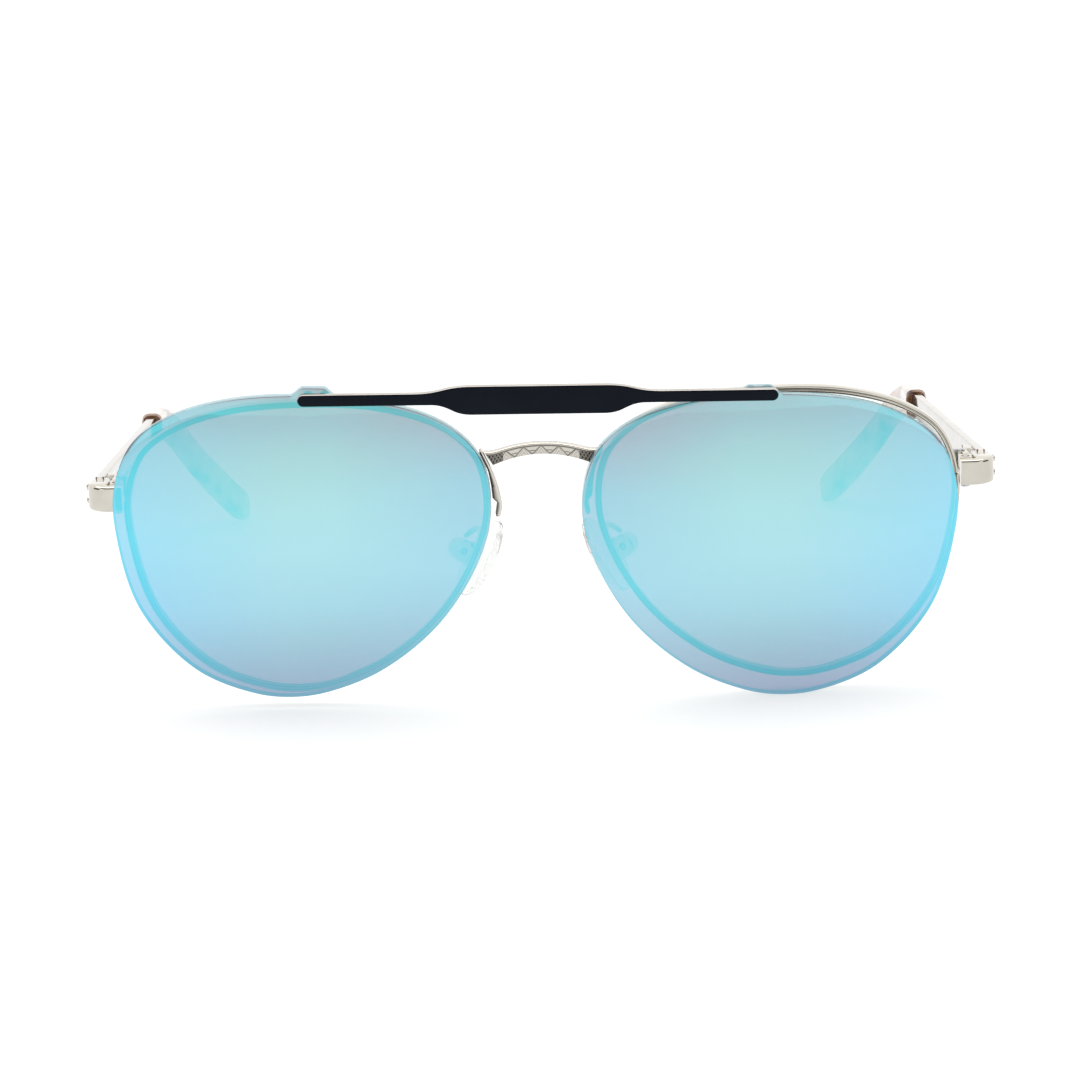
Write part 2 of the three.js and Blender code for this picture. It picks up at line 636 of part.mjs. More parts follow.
// Round wire that leaves the back of the rim, loops up and over, and comes down onto the pad box.
function padArm() {
  const boxTop = vector(PAD_BOX.outward + 0.5, 0, PAD_BOX.along + PAD_BOX.radius + PAD_ARM_LANDING);
  boxTop.applyMatrix4(placePad(new THREE.Object3D()).matrix);
  const route = new THREE.CatmullRomCurve3([
    vector(10.2, 0.75, -1.5), vector(9.9, 2.4, -0.8), vector(9.7, 4.2, 0.4), vector(10.4, 6.0, 0.3), boxTop,
  ]);
  const section = new THREE.Shape().absarc(0, 0, PAD_ARM_RADIUS, 0, 2 * Math.PI);
  return new THREE.ExtrudeGeometry(section, { steps: 14, curveSegments: 4, extrudePath: route });
}

// ------------------------------------------------------------------ clip-on

// Where the pins of one side (+1 or -1) stand in the clip's own frame.
function pinPlaces(side) {
  const roll = side * radians(BAR_ROLL);
  return PIN_X.map((x) => ({
    x: x * Math.cos(roll) + PIN_Z * Math.sin(roll) + side * BAR_SHIFT_X,
    z: PIN_Z * Math.cos(roll) - x * Math.sin(roll),
  }));
}

function clipLens(side) {
  const { x, rise, topWidth, baseWidth } = TAB;
  const tabRise = (px, pz) => {
    const shoulder = (baseWidth / 2 - Math.abs(px - x)) / (baseWidth / 2 - topWidth / 2);
    return pz > 0 ? rise * THREE.MathUtils.clamp(shoulder, 0, 1) : 0;
  };
  const top = LENS_OUTLINE[0][1];
  const corners = [-baseWidth, -topWidth, topWidth, baseWidth].map((width) => (
    outlineParameter(x + width / 2, top)
  ));
  const free = evenParameters(52).filter((t) => (
    Math.abs(outlinePoint(t, 0).x - x) > baseWidth / 2 || outlinePoint(t, 0).z < 0
  ));
  const parameters = [...free, ...corners].sort((a, b) => a - b);
  const half = CLIP_LENS_THICKNESS / 2;
  const body = domedBody(parameters, [
    { inset: 0, scale: 0.5, y: -half },
    { inset: 0, scale: 1, y: -half, rise: tabRise },
    { inset: 0, scale: 1, y: half, rise: tabRise },
    { inset: 0, scale: 0.5, y: half },
  ]);
  const holes = pinPlaces(side).map((pin) => {
    const localX = pin.x - CLIP_CENTRE_X;
    return rod(vector(localX, -5, pin.z), vector(localX, 5, pin.z), PIN_RADIUS + GAP, 12);
  });
  return cutFrom(body, ...holes);
}

// Bar with a deeper middle part; the arms run out over the lenses and end round.
function clipBar() {
  const { halfLength, bottom, top, back, thickness, centreBottom, centreTop } = BAR;
  const { centreHalf, bottomShoulder, topShoulder } = BAR;
  const endRadius = (top - bottom) / 2;
  const endCentre = [halfLength - endRadius, (top + bottom) / 2];
  const lowerEase = (bottomShoulder - centreHalf) / 2;
  const upperEase = (topShoulder - centreHalf) / 2;
  const shape = new THREE.Shape();
  shape.moveTo(-centreHalf, centreBottom);
  shape.lineTo(centreHalf, centreBottom);
  shape.bezierCurveTo(
    centreHalf + lowerEase, centreBottom, bottomShoulder - lowerEase, bottom, bottomShoulder, bottom,
  );
  shape.lineTo(endCentre[0], bottom);
  shape.absarc(...endCentre, endRadius, -Math.PI / 2, Math.PI / 2);
  shape.lineTo(topShoulder, top);
  shape.bezierCurveTo(topShoulder - upperEase, top, centreHalf + upperEase, centreTop, centreHalf, centreTop);
  shape.lineTo(-centreHalf, centreTop);
  shape.bezierCurveTo(
    -centreHalf - upperEase, centreTop, -topShoulder + upperEase, top, -topShoulder, top,
  );
  shape.lineTo(-endCentre[0], top);
  shape.absarc(-endCentre[0], endCentre[1], endRadius, Math.PI / 2, (3 * Math.PI) / 2);
  shape.lineTo(-bottomShoulder, bottom);
  shape.bezierCurveTo(
    -bottomShoulder + lowerEase, bottom, -centreHalf - lowerEase, centreBottom, -centreHalf, centreBottom,
  );
  return plateXZ(shape, back - thickness, thickness, 8);
}

// Middle of the clip-on lens, in the clip's own frame, at the height of the pins.
function clipLensY(x, z) {
  const localX = x - CLIP_CENTRE_X;
  return localX * Math.sin(radians(WRAP)) + baseCurve(localX, z);
}

function clipPin({ x, z }) {
  const front = BAR.back + CLIP_STANDOFF + GAP;
  const rear = clipLensY(x, z) + CLIP_LENS_THICKNESS / 2 + PIN_PROUD;
  return rod(vector(x, front, z), vector(x, rear, z), PIN_RADIUS, 12);
}

function clipMagnet({ x, z }) {
  const front = clipLensY(x, z) + CLIP_LENS_THICKNESS / 2 + PIN_PROUD + HOLE_FIT;
  return rod(vector(x, front, z), vector(x, front + MAGNET_THICKNESS, z), MAGNET_RADIUS, 16);
}

// ------------------------------------------------------------------ assembly

// Group for one side: drawn at +X, mirrored for the wearer's right.
function sideGroup(side) {
  const group = new THREE.Group();
  group.scale.x = side === 'left' ? 1 : -1;
  return group;
}

function eyeGroup(centreX) {
  const group = new THREE.Group();
  group.position.x = centreX;
  group.rotation.z = radians(WRAP);
  return group;
}

function frontSide(side) {
  const group = sideGroup(side);
  const eye = eyeGroup(RIM_CENTRE_X);
  addPart(eye, `${side}_rim`, rimWire(), SILVER);
  addPart(eye, `${side}_clear_lens`, clearLens(), CLEAR_LENS);
  group.add(eye);

  addPart(group, `${side}_bridge_plate`, bridgePlate(), SILVER);
  addPart(group, `${side}_end_piece`, endPiece(), SILVER);
  addPart(group, `${side}_upper_closing_block`, closingBlock(1), SILVER);
  addPart(group, `${side}_lower_closing_block`, closingBlock(-1), SILVER);
  addPart(group, `${side}_closing_screw`, closingScrew(), STEEL);
  addPart(group, `${side}_pad_arm`, padArm(), SILVER);

  const pad = placePad(new THREE.Group());
  addPart(pad, `${side}_pad_box`, padBox(), SILVER);
  addPart(pad, `${side}_pad_screw`, padScrew(), STEEL);
  addPart(pad, `${side}_pad_post`, padPost(), SILVER);
  addPart(pad, `${side}_nose_pad`, nosePad(), SILICONE);
  group.add(pad);

  const hinge = new THREE.Group();
  hinge.position.copy(HINGE);
  hinge.rotation.x = -radians(PANTOSCOPIC_TILT);
  addPart(hinge, `${side}_front_hinge_leaf`, frontHingeLeaf(), SILVER);
  addPart(hinge, `${side}_upper_hinge_rivet`, hingeRivet(RIVET.z), SILVER);
  addPart(hinge, `${side}_lower_hinge_rivet`, hingeRivet(-RIVET.z), SILVER);
  addPart(hinge, `${side}_hinge_screw`, hingeScrew(), STEEL);
  addPart(hinge, `${side}_temple_hinge_leaf`, templeHingeLeaf(), SILVER);
  addPart(hinge, `${side}_temple_blade`, templeBlade(), SILVER);
  addPart(hinge, `${side}_temple_tip`, templeTip(), ACETATE);
  group.add(hinge);
  return group;
}

function clipSide(side) {
  const group = sideGroup(side);
  const sign = group.scale.x;
  const eye = eyeGroup(CLIP_CENTRE_X);
  addPart(eye, `${side}_clip_lens`, clipLens(sign), MIRROR);
  group.add(eye);
  const [inner, outer] = pinPlaces(sign);
  [['inner', inner], ['outer', outer]].forEach(([name, place]) => {
    addPart(group, `${side}_${name}_clip_pin`, clipPin(place), STEEL);
    addPart(group, `${side}_${name}_clip_magnet`, clipMagnet(place), STEEL);
  });
  return group;
}

function clipOn() {
  const group = new THREE.Group();
  group.position.set(CLIP_SHIFT_X, -CLIP_STANDOFF, 0);
  group.rotation.y = radians(CLIP_ROLL);
  const bar = clipBar().translate(0, CLIP_STANDOFF, 0).rotateY(radians(BAR_ROLL)).translate(BAR_SHIFT_X, 0, 0);
  addPart(group, 'clip_bar', bar, NAVY);
  group.add(clipSide('left'), clipSide('right'));
  return group;
}

const front = new THREE.Group();
front.rotation.x = radians(FORWARD_LEAN);
front.add(frontSide('left'), frontSide('right'), clipOn());
addPart(front, 'bridge', bridge(), SILVER);

// The origin is the middle of the footprint, on the table.
const spectacles = new THREE.Group();
spectacles.add(front);
const extent = new THREE.Box3().setFromObject(spectacles, true);
const centre = extent.getCenter(vector(0, 0, 0));
front.position.set(-centre.x, -centre.y, -extent.min.z);

export default spectacles;
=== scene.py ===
import json
import math

import bmesh
import bpy
from mathutils import Matrix, Vector


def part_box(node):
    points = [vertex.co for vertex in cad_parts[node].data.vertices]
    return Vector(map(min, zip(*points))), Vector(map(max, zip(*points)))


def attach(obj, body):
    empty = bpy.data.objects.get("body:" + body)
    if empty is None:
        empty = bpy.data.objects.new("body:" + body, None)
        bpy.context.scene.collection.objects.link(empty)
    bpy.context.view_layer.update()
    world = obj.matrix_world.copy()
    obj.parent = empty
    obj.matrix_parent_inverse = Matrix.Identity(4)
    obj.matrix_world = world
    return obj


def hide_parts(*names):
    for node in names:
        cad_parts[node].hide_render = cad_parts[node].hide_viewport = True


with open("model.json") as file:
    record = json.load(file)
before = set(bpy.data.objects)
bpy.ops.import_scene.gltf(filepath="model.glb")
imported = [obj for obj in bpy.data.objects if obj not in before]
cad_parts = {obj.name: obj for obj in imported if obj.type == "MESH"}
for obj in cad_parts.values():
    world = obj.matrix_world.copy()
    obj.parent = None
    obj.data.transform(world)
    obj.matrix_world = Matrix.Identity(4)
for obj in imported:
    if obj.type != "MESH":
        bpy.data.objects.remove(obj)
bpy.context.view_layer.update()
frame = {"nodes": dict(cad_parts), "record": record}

# Aviator spectacles with a mirrored clip-on. Shapes are worked out in millimetres in the same nested
# frames as the solids, and moved to metres at the end:
#   front   origin midway between the lenses, +Z up along the leaning front
#   eye     one lens, +X temporal        hinge   one temple, +Y along it        pad   one nose pad
MM = 0.001
SIDES = ("left", "right")

# ------------------------------------------------------------------ dimensions shared with the solids

GAP = 0.3
FORWARD_LEAN = math.radians(4)
PANTOSCOPIC_TILT = math.radians(9)
WRAP = math.radians(3.5)
LENS_OUTLINE = [
    (0, 24.3), (11.3, 23.3), (20.2, 20.4), (26.1, 15.9), (28.9, 8.5), (28.6, 1.0),
    (25.2, -10.5), (16.8, -19.9), (7.7, -23.6), (2.0, -24.1), (-3.5, -23.2), (-12.2, -19.4),
    (-21.1, -11.8), (-27.1, -2.0), (-29.1, 6.0), (-27.5, 14.4), (-22.3, 19.7), (-12.1, 23.4),
]
LENS_RADIUS = 130
SAG_TO_RIM = 2.5
RIM_CENTRE_X = 36.4
RIM_INSET = 0.75
RIM_WIDTH = 1.0
RIM_DEPTH = 2.0
RIM_GROOVE_DEPTH = 0.55
RIM_SPLIT = 0.35
CLEAR_LENS_THICKNESS = 1.3
CLEAR_LENS_SEAT = 0.1
BRIDGE_TOP = 16.0
BRIDGE_BOTTOM = 14.45
BRIDGE_FRONT_Y = -2.0
BRIDGE_BACK_Y = -0.42
BRIDGE_FOOT_X = 7.4
BRIDGE_FOOT_DROP = 1.8
BRIDGE_ARCH_RISE = 1.4
BRIDGE_SHOULDER = ((8.72, -1.2), (6.9, -1.6), (5.3, 0.0), (0.0, 0.0))  # Bezier curve, end to middle
PLATE_DEPTH = 2.0
LUG_Z = 8.2
LUG_HEIGHT = 4.0
LUG_THICKNESS = 1.6
BLOCK_WIDTH = 3.0
LUG_INNER_X = 64.85
BLOCK_CENTRE_X = 68.7
LUG_PLATE_Y = 1.8
LUG_CORNER_RADIUS = 1.7
BLOCK_END_Y = -0.25  # in the hinge's frame
HINGE = Vector((65.7, 10.2, 7.2))
RIVET_Y = -3.4
RIVET_Z = 1.05
RIVET_HOLE_RADIUS = 0.6
BLADE_START = 0.05
BLADE_INNER_X = 2.7
BLADE_THICKNESS = 1.5
BLADE_HEIGHT = 4.2
BLADE_LENGTH = 86
CORE_LENGTH = 14
CORE_THICKNESS = 1.0
CORE_HEIGHT = 2.2
CORE_CLEARANCE = 0.25
TIP_THICKNESS = 3.6
TIP_HEIGHT = 5.8
TIP_STRAIGHT_LENGTH = 9
TIP_BEND_RADIUS = 22
TIP_BEND_ANGLE = math.radians(42)
TIP_DROP_LENGTH = 20.2
TIP_INWARD_SET = 11.9
PAD_CENTRE = Vector((9.9, 8.6, -5.4))
PAD_TILT = math.radians(32)
PAD_SPLAY = math.radians(24)
PAD_LENGTH = 13
PAD_WIDTH = 7.4
PAD_THICKNESS = 2.4
PAD_BOX_OUTWARD = 3.8
PAD_BOX_ALONG = -0.1
PAD_BOX_RADIUS = 1.75
PAD_ARM_RADIUS = 0.45
PAD_ARM_LANDING = 0.45
CLIP_CENTRE_X = 36.05
CLIP_STANDOFF = 3.4
CLIP_SHIFT_X = -1.15
CLIP_ROLL = math.radians(1.6)
CLIP_LENS_THICKNESS = 1.8
TAB_X = -2.15
TAB_RISE = 1.19  # a hair under the solid's
TAB_TOP_WIDTH = 3.1
TAB_BASE_WIDTH = 7.2
BAR_HALF_LENGTH = 36.4
BAR_BOTTOM = 23.45
BAR_TOP = 25.3
BAR_BACK_Y = -5.2
BAR_THICKNESS = 1.5
BAR_CENTRE_BOTTOM = 21.85
BAR_CENTRE_TOP = 26.35
BAR_CENTRE_HALF = 10
BAR_BOTTOM_SHOULDER = 16.5
BAR_TOP_SHOULDER = 19
BAR_ROLL = math.radians(-0.55)
BAR_SHIFT_X = 0.42
PIN_X = (32.4, 34.95)
PIN_Z = 24.05
PIN_HOLE_RADIUS = 0.75

# ------------------------------------------------------------------ frames


def turn(angle, axis):
    return Matrix.Rotation(angle, 4, axis)


fold = next(j for j in frame["record"]["behaviour"]["joints"] if j["name"] == "left_temple_fold")
lean = turn(FORWARD_LEAN, "X")
FRONT = Matrix.Translation(Vector(fold["pos_m"]) / MM - lean @ HINGE) @ lean
MIRRORED = Matrix.Scale(-1, 4, (1, 0, 0))
CLIP = FRONT @ Matrix.Translation((CLIP_SHIFT_X, -CLIP_STANDOFF, 0)) @ turn(CLIP_ROLL, "Y")
HINGE_FRAME = Matrix.Translation(HINGE) @ turn(-PANTOSCOPIC_TILT, "X")
PAD_FRAME = Matrix.Translation(PAD_CENTRE) @ turn(-PAD_SPLAY, "Z") @ turn(-PAD_TILT, "Y")


def on_side(base, side):
    return base @ (MIRRORED if side == "right" else Matrix.Identity(4))


def eye_frame(centre_x):
    return Matrix.Translation((centre_x, 0, 0)) @ turn(WRAP, "Z")


# ------------------------------------------------------------------ curves


def spline(points, closed=False, per_span=24):
    """Centripetal Catmull-Rom curve through the points."""
    count = len(points)
    spans = count if closed else count - 1

    def control(i):
        if closed:
            return points[i % count]
        if i < 0:
            return points[0] * 2 - points[1]
        if i >= count:
            return points[-1] * 2 - points[-2]
        return points[i]

    curve = []
    for i in range(spans):
        a, b, c, d = (control(i + k) for k in (-1, 0, 1, 2))
        before, here, after = ((q - p).length ** 0.5 for p, q in ((a, b), (b, c), (c, d)))
        leave = ((b - a) / before - (c - a) / (before + here) + (c - b) / here) * here
        arrive = ((c - b) / here - (d - b) / (here + after) + (d - c) / after) * here
        for k in range(per_span):
            t = k / per_span
            cubic = b * 2 - c * 2 + leave + arrive
            square = (c - b) * 3 - leave * 2 - arrive
            curve.append(b + leave * t + square * t ** 2 + cubic * t ** 3)
    if not closed:
        curve.append(points[-1].copy())
    return curve


class Path:
    """Points walked by share of length."""

    def __init__(self, points, closed=False):
        self.points = points + [points[0]] if closed else points
        self.lengths = [0.0]
        for a, b in zip(self.points, self.points[1:]):
            self.lengths.append(self.lengths[-1] + (b - a).length)
        self.length = self.lengths[-1]
        self.closed = closed

    def point(self, share):
        wanted = (share % 1 if self.closed else min(max(share, 0), 1)) * self.length
        low, high = 0, len(self.lengths) - 1
        while high - low > 1:
            middle = (low + high) // 2
            low, high = (middle, high) if self.lengths[middle] <= wanted else (low, middle)
        span = self.lengths[high] - self.lengths[low]
        return self.points[low].lerp(self.points[high], (wanted - self.lengths[low]) / span)

    def tangent(self, share):
        step = 0.002
        return (self.point(share + step) - self.point(share - step)).normalized()


OUTLINE = Path(spline([Vector((x, 0, z)) for x, z in LENS_OUTLINE], closed=True), closed=True)


def outline_point(t, inset):
    point, along = OUTLINE.point(t), OUTLINE.tangent(t)
    return Vector((point.x + along.z * inset, 0, point.z - along.x * inset))


def outline_parameter(x, z):
    steps = 1440
    wanted = Vector((x, 0, z))
    return min(range(steps), key=lambda i: (OUTLINE.point(i / steps) - wanted).length) / steps


def base_curve(x, z):
    return (x * x + z * z) / (2 * LENS_RADIUS) - SAG_TO_RIM


def bezier(a, b, c, d, steps):
    """Cubic curve between a and d, without its last point."""
    return [
        a * (1 - t) ** 3 + b * 3 * t * (1 - t) ** 2 + c * 3 * t * t * (1 - t) + d * t ** 3
        for t in (k / steps for k in range(steps))
    ]


def rounded(corners, radius, steps=4):
    """Closed contour whose corners are eased by up to the radius."""
    corners = [Vector(c) for c in corners]
    contour = []
    for i, corner in enumerate(corners):
        before = corners[i - 1] - corner
        after = corners[(i + 1) % len(corners)] - corner
        reach = min(radius, before.length * 0.49, after.length * 0.49)
        start = corner + before.normalized() * reach
        end = corner + after.normalized() * reach
        for k in range(steps + 1):
            t = k / steps
            contour.append(start * (1 - t) ** 2 + corner * 2 * t * (1 - t) + end * t * t)
    return contour


def rounded_rectangle(width, height, radius, steps=4):
    w, h = width / 2, height / 2
    return rounded([(-w, -h), (w, -h), (w, h), (-w, h)], radius, steps)


def smoothstep(low, high, value):
    t = min(max((value - low) / (high - low), 0), 1)
    return t * t * (3 - 2 * t)


# ------------------------------------------------------------------ meshes


def sharpen(bm, angle):
    """Shades smoothly across the edges that bend by less than the angle, in degrees."""
    for edge in bm.edges:
        edge.smooth = len(edge.link_faces) == 2 and edge.calc_face_angle() < math.radians(angle)


def finished(bm, name, matrix, materials, angle=32):
    """Object of the bmesh, moved from its frame in millimetres to the shared one in metres."""
    bm.transform(Matrix.Scale(MM, 4) @ matrix)
    bmesh.ops.recalc_face_normals(bm, faces=bm.faces)
    for face in bm.faces:
        face.smooth = True
    sharpen(bm, angle)
    mesh = bpy.data.meshes.new(name)
    bm.to_mesh(mesh)
    bm.free()
    thing = bpy.data.objects.new(name, mesh)
    bpy.context.scene.collection.objects.link(thing)
    for material in materials:
        mesh.materials.append(material)
    return thing


def skin(rings, start="flat", end="flat"):
    """Closed bmesh over rings with the same number of points. An end is flat, or a fan round its middle."""
    bm = bmesh.new()
    rows = [[bm.verts.new(p) for p in ring] for ring in rings]
    count = len(rows[0])
    for low, high in zip(rows, rows[1:]):
        for i in range(count):
            k = (i + 1) % count
            bm.faces.new((low[i], low[k], high[k], high[i]))
    for row, kind in ((rows[0], start), (rows[-1], end)):
        if kind == "flat":
            bm.faces.new(row)
            continue
        middle = bm.verts.new(sum((v.co for v in row), Vector()) / count)
        for i in range(count):
            bm.faces.new((row[i], row[(i + 1) % count], middle))
    return bm


def swept(stations):
    return [[c + across * a + up * u for a, u in contour] for c, across, up, contour in stations]


def carve(thing, cutters, angle=50):
    """Cuts closed cutter objects out of the piece and removes them."""
    for cutter in cutters:
        cut = thing.modifiers.new("cut", "BOOLEAN")
        cut.object = cutter
        cut.operation = "DIFFERENCE"
        cut.solver = "EXACT"
    bpy.context.view_layer.update()
    shaped = bpy.data.meshes.new_from_object(thing.evaluated_get(bpy.context.evaluated_depsgraph_get()))
    thing.modifiers.clear()
    thing.data = shaped
    bm = bmesh.new()
    bm.from_mesh(shaped)
    sharpen(bm, angle)
    bm.to_mesh(shaped)
    bm.free()
    for cutter in cutters:
        bpy.data.objects.remove(cutter)


def rod(start, end, radius, matrix, segments=28):
    """Closed cylinder between two points."""
    along = (end - start).normalized()
    across = along.orthogonal().normalized()
    up = along.cross(across)
    circle = [
        (radius * math.cos(a), radius * math.sin(a))
        for a in (2 * math.pi * k / segments for k in range(segments))
    ]
    return finished(skin(swept([(p, across, up, circle) for p in (start, end)])), "cutter", matrix, [])


def place(thing, body, node):
    """Puts the piece on its body, in place of the node."""
    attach(thing, body)
    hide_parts(node)


# ------------------------------------------------------------------ materials


class Shader:
    """A material's node tree, with short calls for the nodes that it needs."""

    def __init__(self, name):
        self.material = bpy.data.materials.new(name)
        self.material.use_nodes = True
        self.tree = self.material.node_tree
        self.tree.nodes.clear()
        self.output = self.tree.nodes.new("ShaderNodeOutputMaterial")
        self.place = self.node("TexCoord").outputs["Object"]

    def node(self, kind, inputs=None, **settings):
        made = self.tree.nodes.new("ShaderNode" + kind)
        for key, value in settings.items():
            setattr(made, key, value)
        for key, value in (inputs or {}).items():
            if isinstance(value, bpy.types.NodeSocket):
                self.tree.links.new(value, made.inputs[key])
            else:
                made.inputs[key].default_value = value
        return made

    def noise(self, scale, detail=2.0, roughness=0.5, stretch=None):
        vector = self.place
        if stretch:
            vector = self.node("Mapping", {"Vector": vector, "Scale": stretch}).outputs["Vector"]
        made = self.node("TexNoise", {"Vector": vector, "Scale": scale, "Detail": detail,
                                      "Roughness": roughness})
        return made.outputs["Fac"]

    def spread(self, value, low, high, to_low=0.0, to_high=1.0):
        return self.node("MapRange", {"Value": value, "From Min": low, "From Max": high,
                                      "To Min": to_low, "To Max": to_high}).outputs["Result"]

    def ramp(self, value, stops, interpolation="LINEAR"):
        made = self.node("ValToRGB", {"Fac": value})
        made.color_ramp.interpolation = interpolation
        elements = made.color_ramp.elements
        while len(elements) < len(stops):
            elements.new(0.5)
        for element, (position, colour) in zip(elements, stops):
            element.position = position
            element.color = (*linear(colour), 1)
        return made.outputs["Color"]

    def mix(self, share, first, second):
        made = self.node("Mix", data_type="RGBA")
        for socket, value in ((made.inputs[0], share), (made.inputs[6], first), (made.inputs[7], second)):
            if isinstance(value, bpy.types.NodeSocket):
                self.tree.links.new(value, socket)
            elif isinstance(value, (int, float)):
                socket.default_value = value
            else:
                socket.default_value = (*linear(value), 1)
        return made.outputs[2]

    def bump(self, height, distance, strength=1.0):
        return self.node("Bump", {"Height": height, "Distance": distance, "Strength": strength}
                         ).outputs["Normal"]

    def finish(self, shader):
        self.tree.links.new(shader, self.output.inputs["Surface"])
        return self.material


def linear(colour):
    """Linear value of a colour given as 0 to 255."""
    return tuple(
        c / 255 / 12.92 if c / 255 <= 0.04045 else ((c / 255 + 0.055) / 1.055) ** 2.4 for c in colour
    )


def metal(name, colour, shade, low, high, grain=(1, 1, 1), bump=0.000002):
    """Metal with a slightly uneven polish."""
    s = Shader(name)
    cloud = s.noise(260, 3)
    fine = s.noise(5200, 2, stretch=grain)
    shader = s.node("BsdfPrincipled", {
        "Base Color": s.mix(s.spread(cloud, 0.3, 0.7), colour, shade),
        "Metallic": 1.0,
        "Roughness": s.spread(fine, 0.3, 0.7, low, high),
        "Normal": s.bump(fine, bump, 0.35),
    })
    return s.finish(shader.outputs[0])


def engraved_metal():
    """Silver whose cut lines, marked on the mesh, are dulled and darkened."""
    s = Shader("engraved_silver")
    tone = s.node("Attribute", attribute_name="tone").outputs["Fac"]
    fine = s.noise(5200, 2)
    shader = s.node("BsdfPrincipled", {
        "Base Color": s.mix(tone, (212, 206, 196), (34, 27, 24)),
        "Metallic": 1.0,
        "Roughness": s.spread(tone, 0, 1, 0.14, 0.5),
        "Normal": s.bump(fine, 0.000003, 0.4),
    })
    return s.finish(shader.outputs[0])


def navy_paint():
    s = Shader("matte_navy_paint")
    grain = s.noise(4200, 3, 0.6)
    cloud = s.noise(180, 2)
    shader = s.node("BsdfPrincipled", {
        "Base Color": s.mix(s.spread(cloud, 0.3, 0.7), (6, 12, 22), (10, 17, 29)),
        "Roughness": s.spread(grain, 0.3, 0.7, 0.42, 0.6),
        "Specular IOR Level": 0.1,
        "Normal": s.bump(grain, 0.000012, 0.5),
    })
    return s.finish(shader.outputs[0])


def pin_blue():
    """Teal on the clip-on's pins and magnets, close to the colour of the mirror lens around them."""
    s = Shader("teal_pin_colour")
    cloud = s.noise(900, 2)
    shader = s.node("BsdfPrincipled", {
        "Base Color": s.mix(s.spread(cloud, 0.3, 0.7), (84, 150, 172), (96, 162, 182)),
        "Roughness": s.spread(s.noise(3000, 2), 0.3, 0.7, 0.2, 0.36),
        "Normal": s.bump(cloud, 0.000005, 0.3),
    })
    return s.finish(shader.outputs[0])


def lens_place(s, lens):
    """Shares across the lens: 0 at its nasal and bottom edges, 1 at its temporal and top ones."""
    low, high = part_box(lens)
    split = s.node("SeparateXYZ", {"Vector": s.place}).outputs
    temporal = (high.x, low.x) if low.x < 0 else (low.x, high.x)
    return s.spread(split["X"], *temporal), s.spread(split["Z"], low.z, high.z)


def mirror_coat_and_painted_reflection(side):
    """Front of the clip-on lens: a pale ice-blue mirror, only a dark tint from behind. Its colour is
    painted by height and across the lens, partly the coat's own hue and partly painted reflection: dimmer
    at the top and bottom, bluer at the temporal edge, greyer at the nasal top.
    """
    s = Shader(f"{side}_mirror_coat_and_painted_reflection")
    across, up = lens_place(s, f"{side}_clip_lens")
    drift = s.spread(s.noise(22, 1), 0.3, 0.7, -0.03, 0.03)
    height = s.node("Math", {0: up, 1: drift}, operation="ADD").outputs[0]
    # Painted reflection: these ramps stand in for how the mirror's reflections change over its curve,
    # dimmer near the top where it mirrors darker sky and near the bottom where it mirrors shaded floor.
    middle = s.ramp(height, [
        (0.0, (114, 204, 228)), (0.17, (120, 220, 235)), (0.3, (128, 230, 242)),
        (0.48, (136, 236, 243)), (0.62, (134, 235, 238)), (0.78, (126, 226, 226)),
        (0.9, (116, 216, 222)), (1.0, (112, 206, 212)),
    ])
    edge = s.ramp(height, [
        (0.0, (100, 192, 222)), (0.3, (106, 224, 252)), (0.55, (112, 233, 255)),
        (0.8, (106, 224, 242)), (1.0, (98, 210, 224)),
    ])
    # Greyer towards the nasal top: painted reflection as well.
    nasal = s.ramp(height, [
        (0.0, (114, 204, 228)), (0.4, (124, 230, 246)), (0.68, (116, 218, 232)),
        (0.86, (124, 194, 208)), (1.0, (128, 184, 198)),
    ])
    colour = s.mix(s.spread(across, 0.55, 1.0), middle, edge)
    colour = s.mix(s.spread(across, 0.42, 0.05), colour, nasal)
    mirror = s.node("BsdfPrincipled", {
        "Base Color": colour, "Metallic": 1.0, "Roughness": 0.035,
        "Normal": s.bump(s.noise(60, 1), 0.00001, 0.1),
    })
    tinted = s.node("BsdfPrincipled", {
        "Base Color": s.mix(s.spread(s.noise(40, 1), 0.3, 0.7), (46, 70, 82), (52, 78, 90)),
        "Roughness": 0.05,
    })
    behind = s.node("NewGeometry").outputs["Backfacing"]
    coat = s.node("MixShader", {0: behind, 1: mirror.outputs[0], 2: tinted.outputs[0]})
    through = s.node("BsdfTransparent", {"Color": s.mix(behind, (255, 118, 132), (136, 122, 118))})
    mixed = s.node("MixShader", {0: 0.76, 1: through.outputs[0], 2: coat.outputs[0]})
    return s.finish(mixed.outputs[0])


def polish(s):
    """Share of light that a polished clear face mirrors: little head on, more at a slant."""
    slant = s.node("LayerWeight", {"Blend": 0.5}).outputs["Facing"]
    steep = s.node("Math", {0: slant, 1: 4.0}, operation="POWER").outputs[0]
    return s.node("Math", {0: steep, 1: 0.85, 2: 0.04}, operation="MULTIPLY_ADD").outputs[0]


def lens_back():
    """Uncoated rear of the clip-on lens."""
    s = Shader("clip_lens_back")
    gloss = s.node("BsdfPrincipled", {
        "Base Color": s.mix(s.spread(s.noise(40, 1), 0.3, 0.7), (96, 92, 92), (104, 98, 96)),
        "Roughness": 0.05,
    })
    through = s.node("BsdfTransparent", {"Color": (0.97, 0.96, 0.95, 1)})
    mixed = s.node("MixShader", {0: polish(s), 1: through.outputs[0], 2: gloss.outputs[0]})
    return s.finish(mixed.outputs[0])


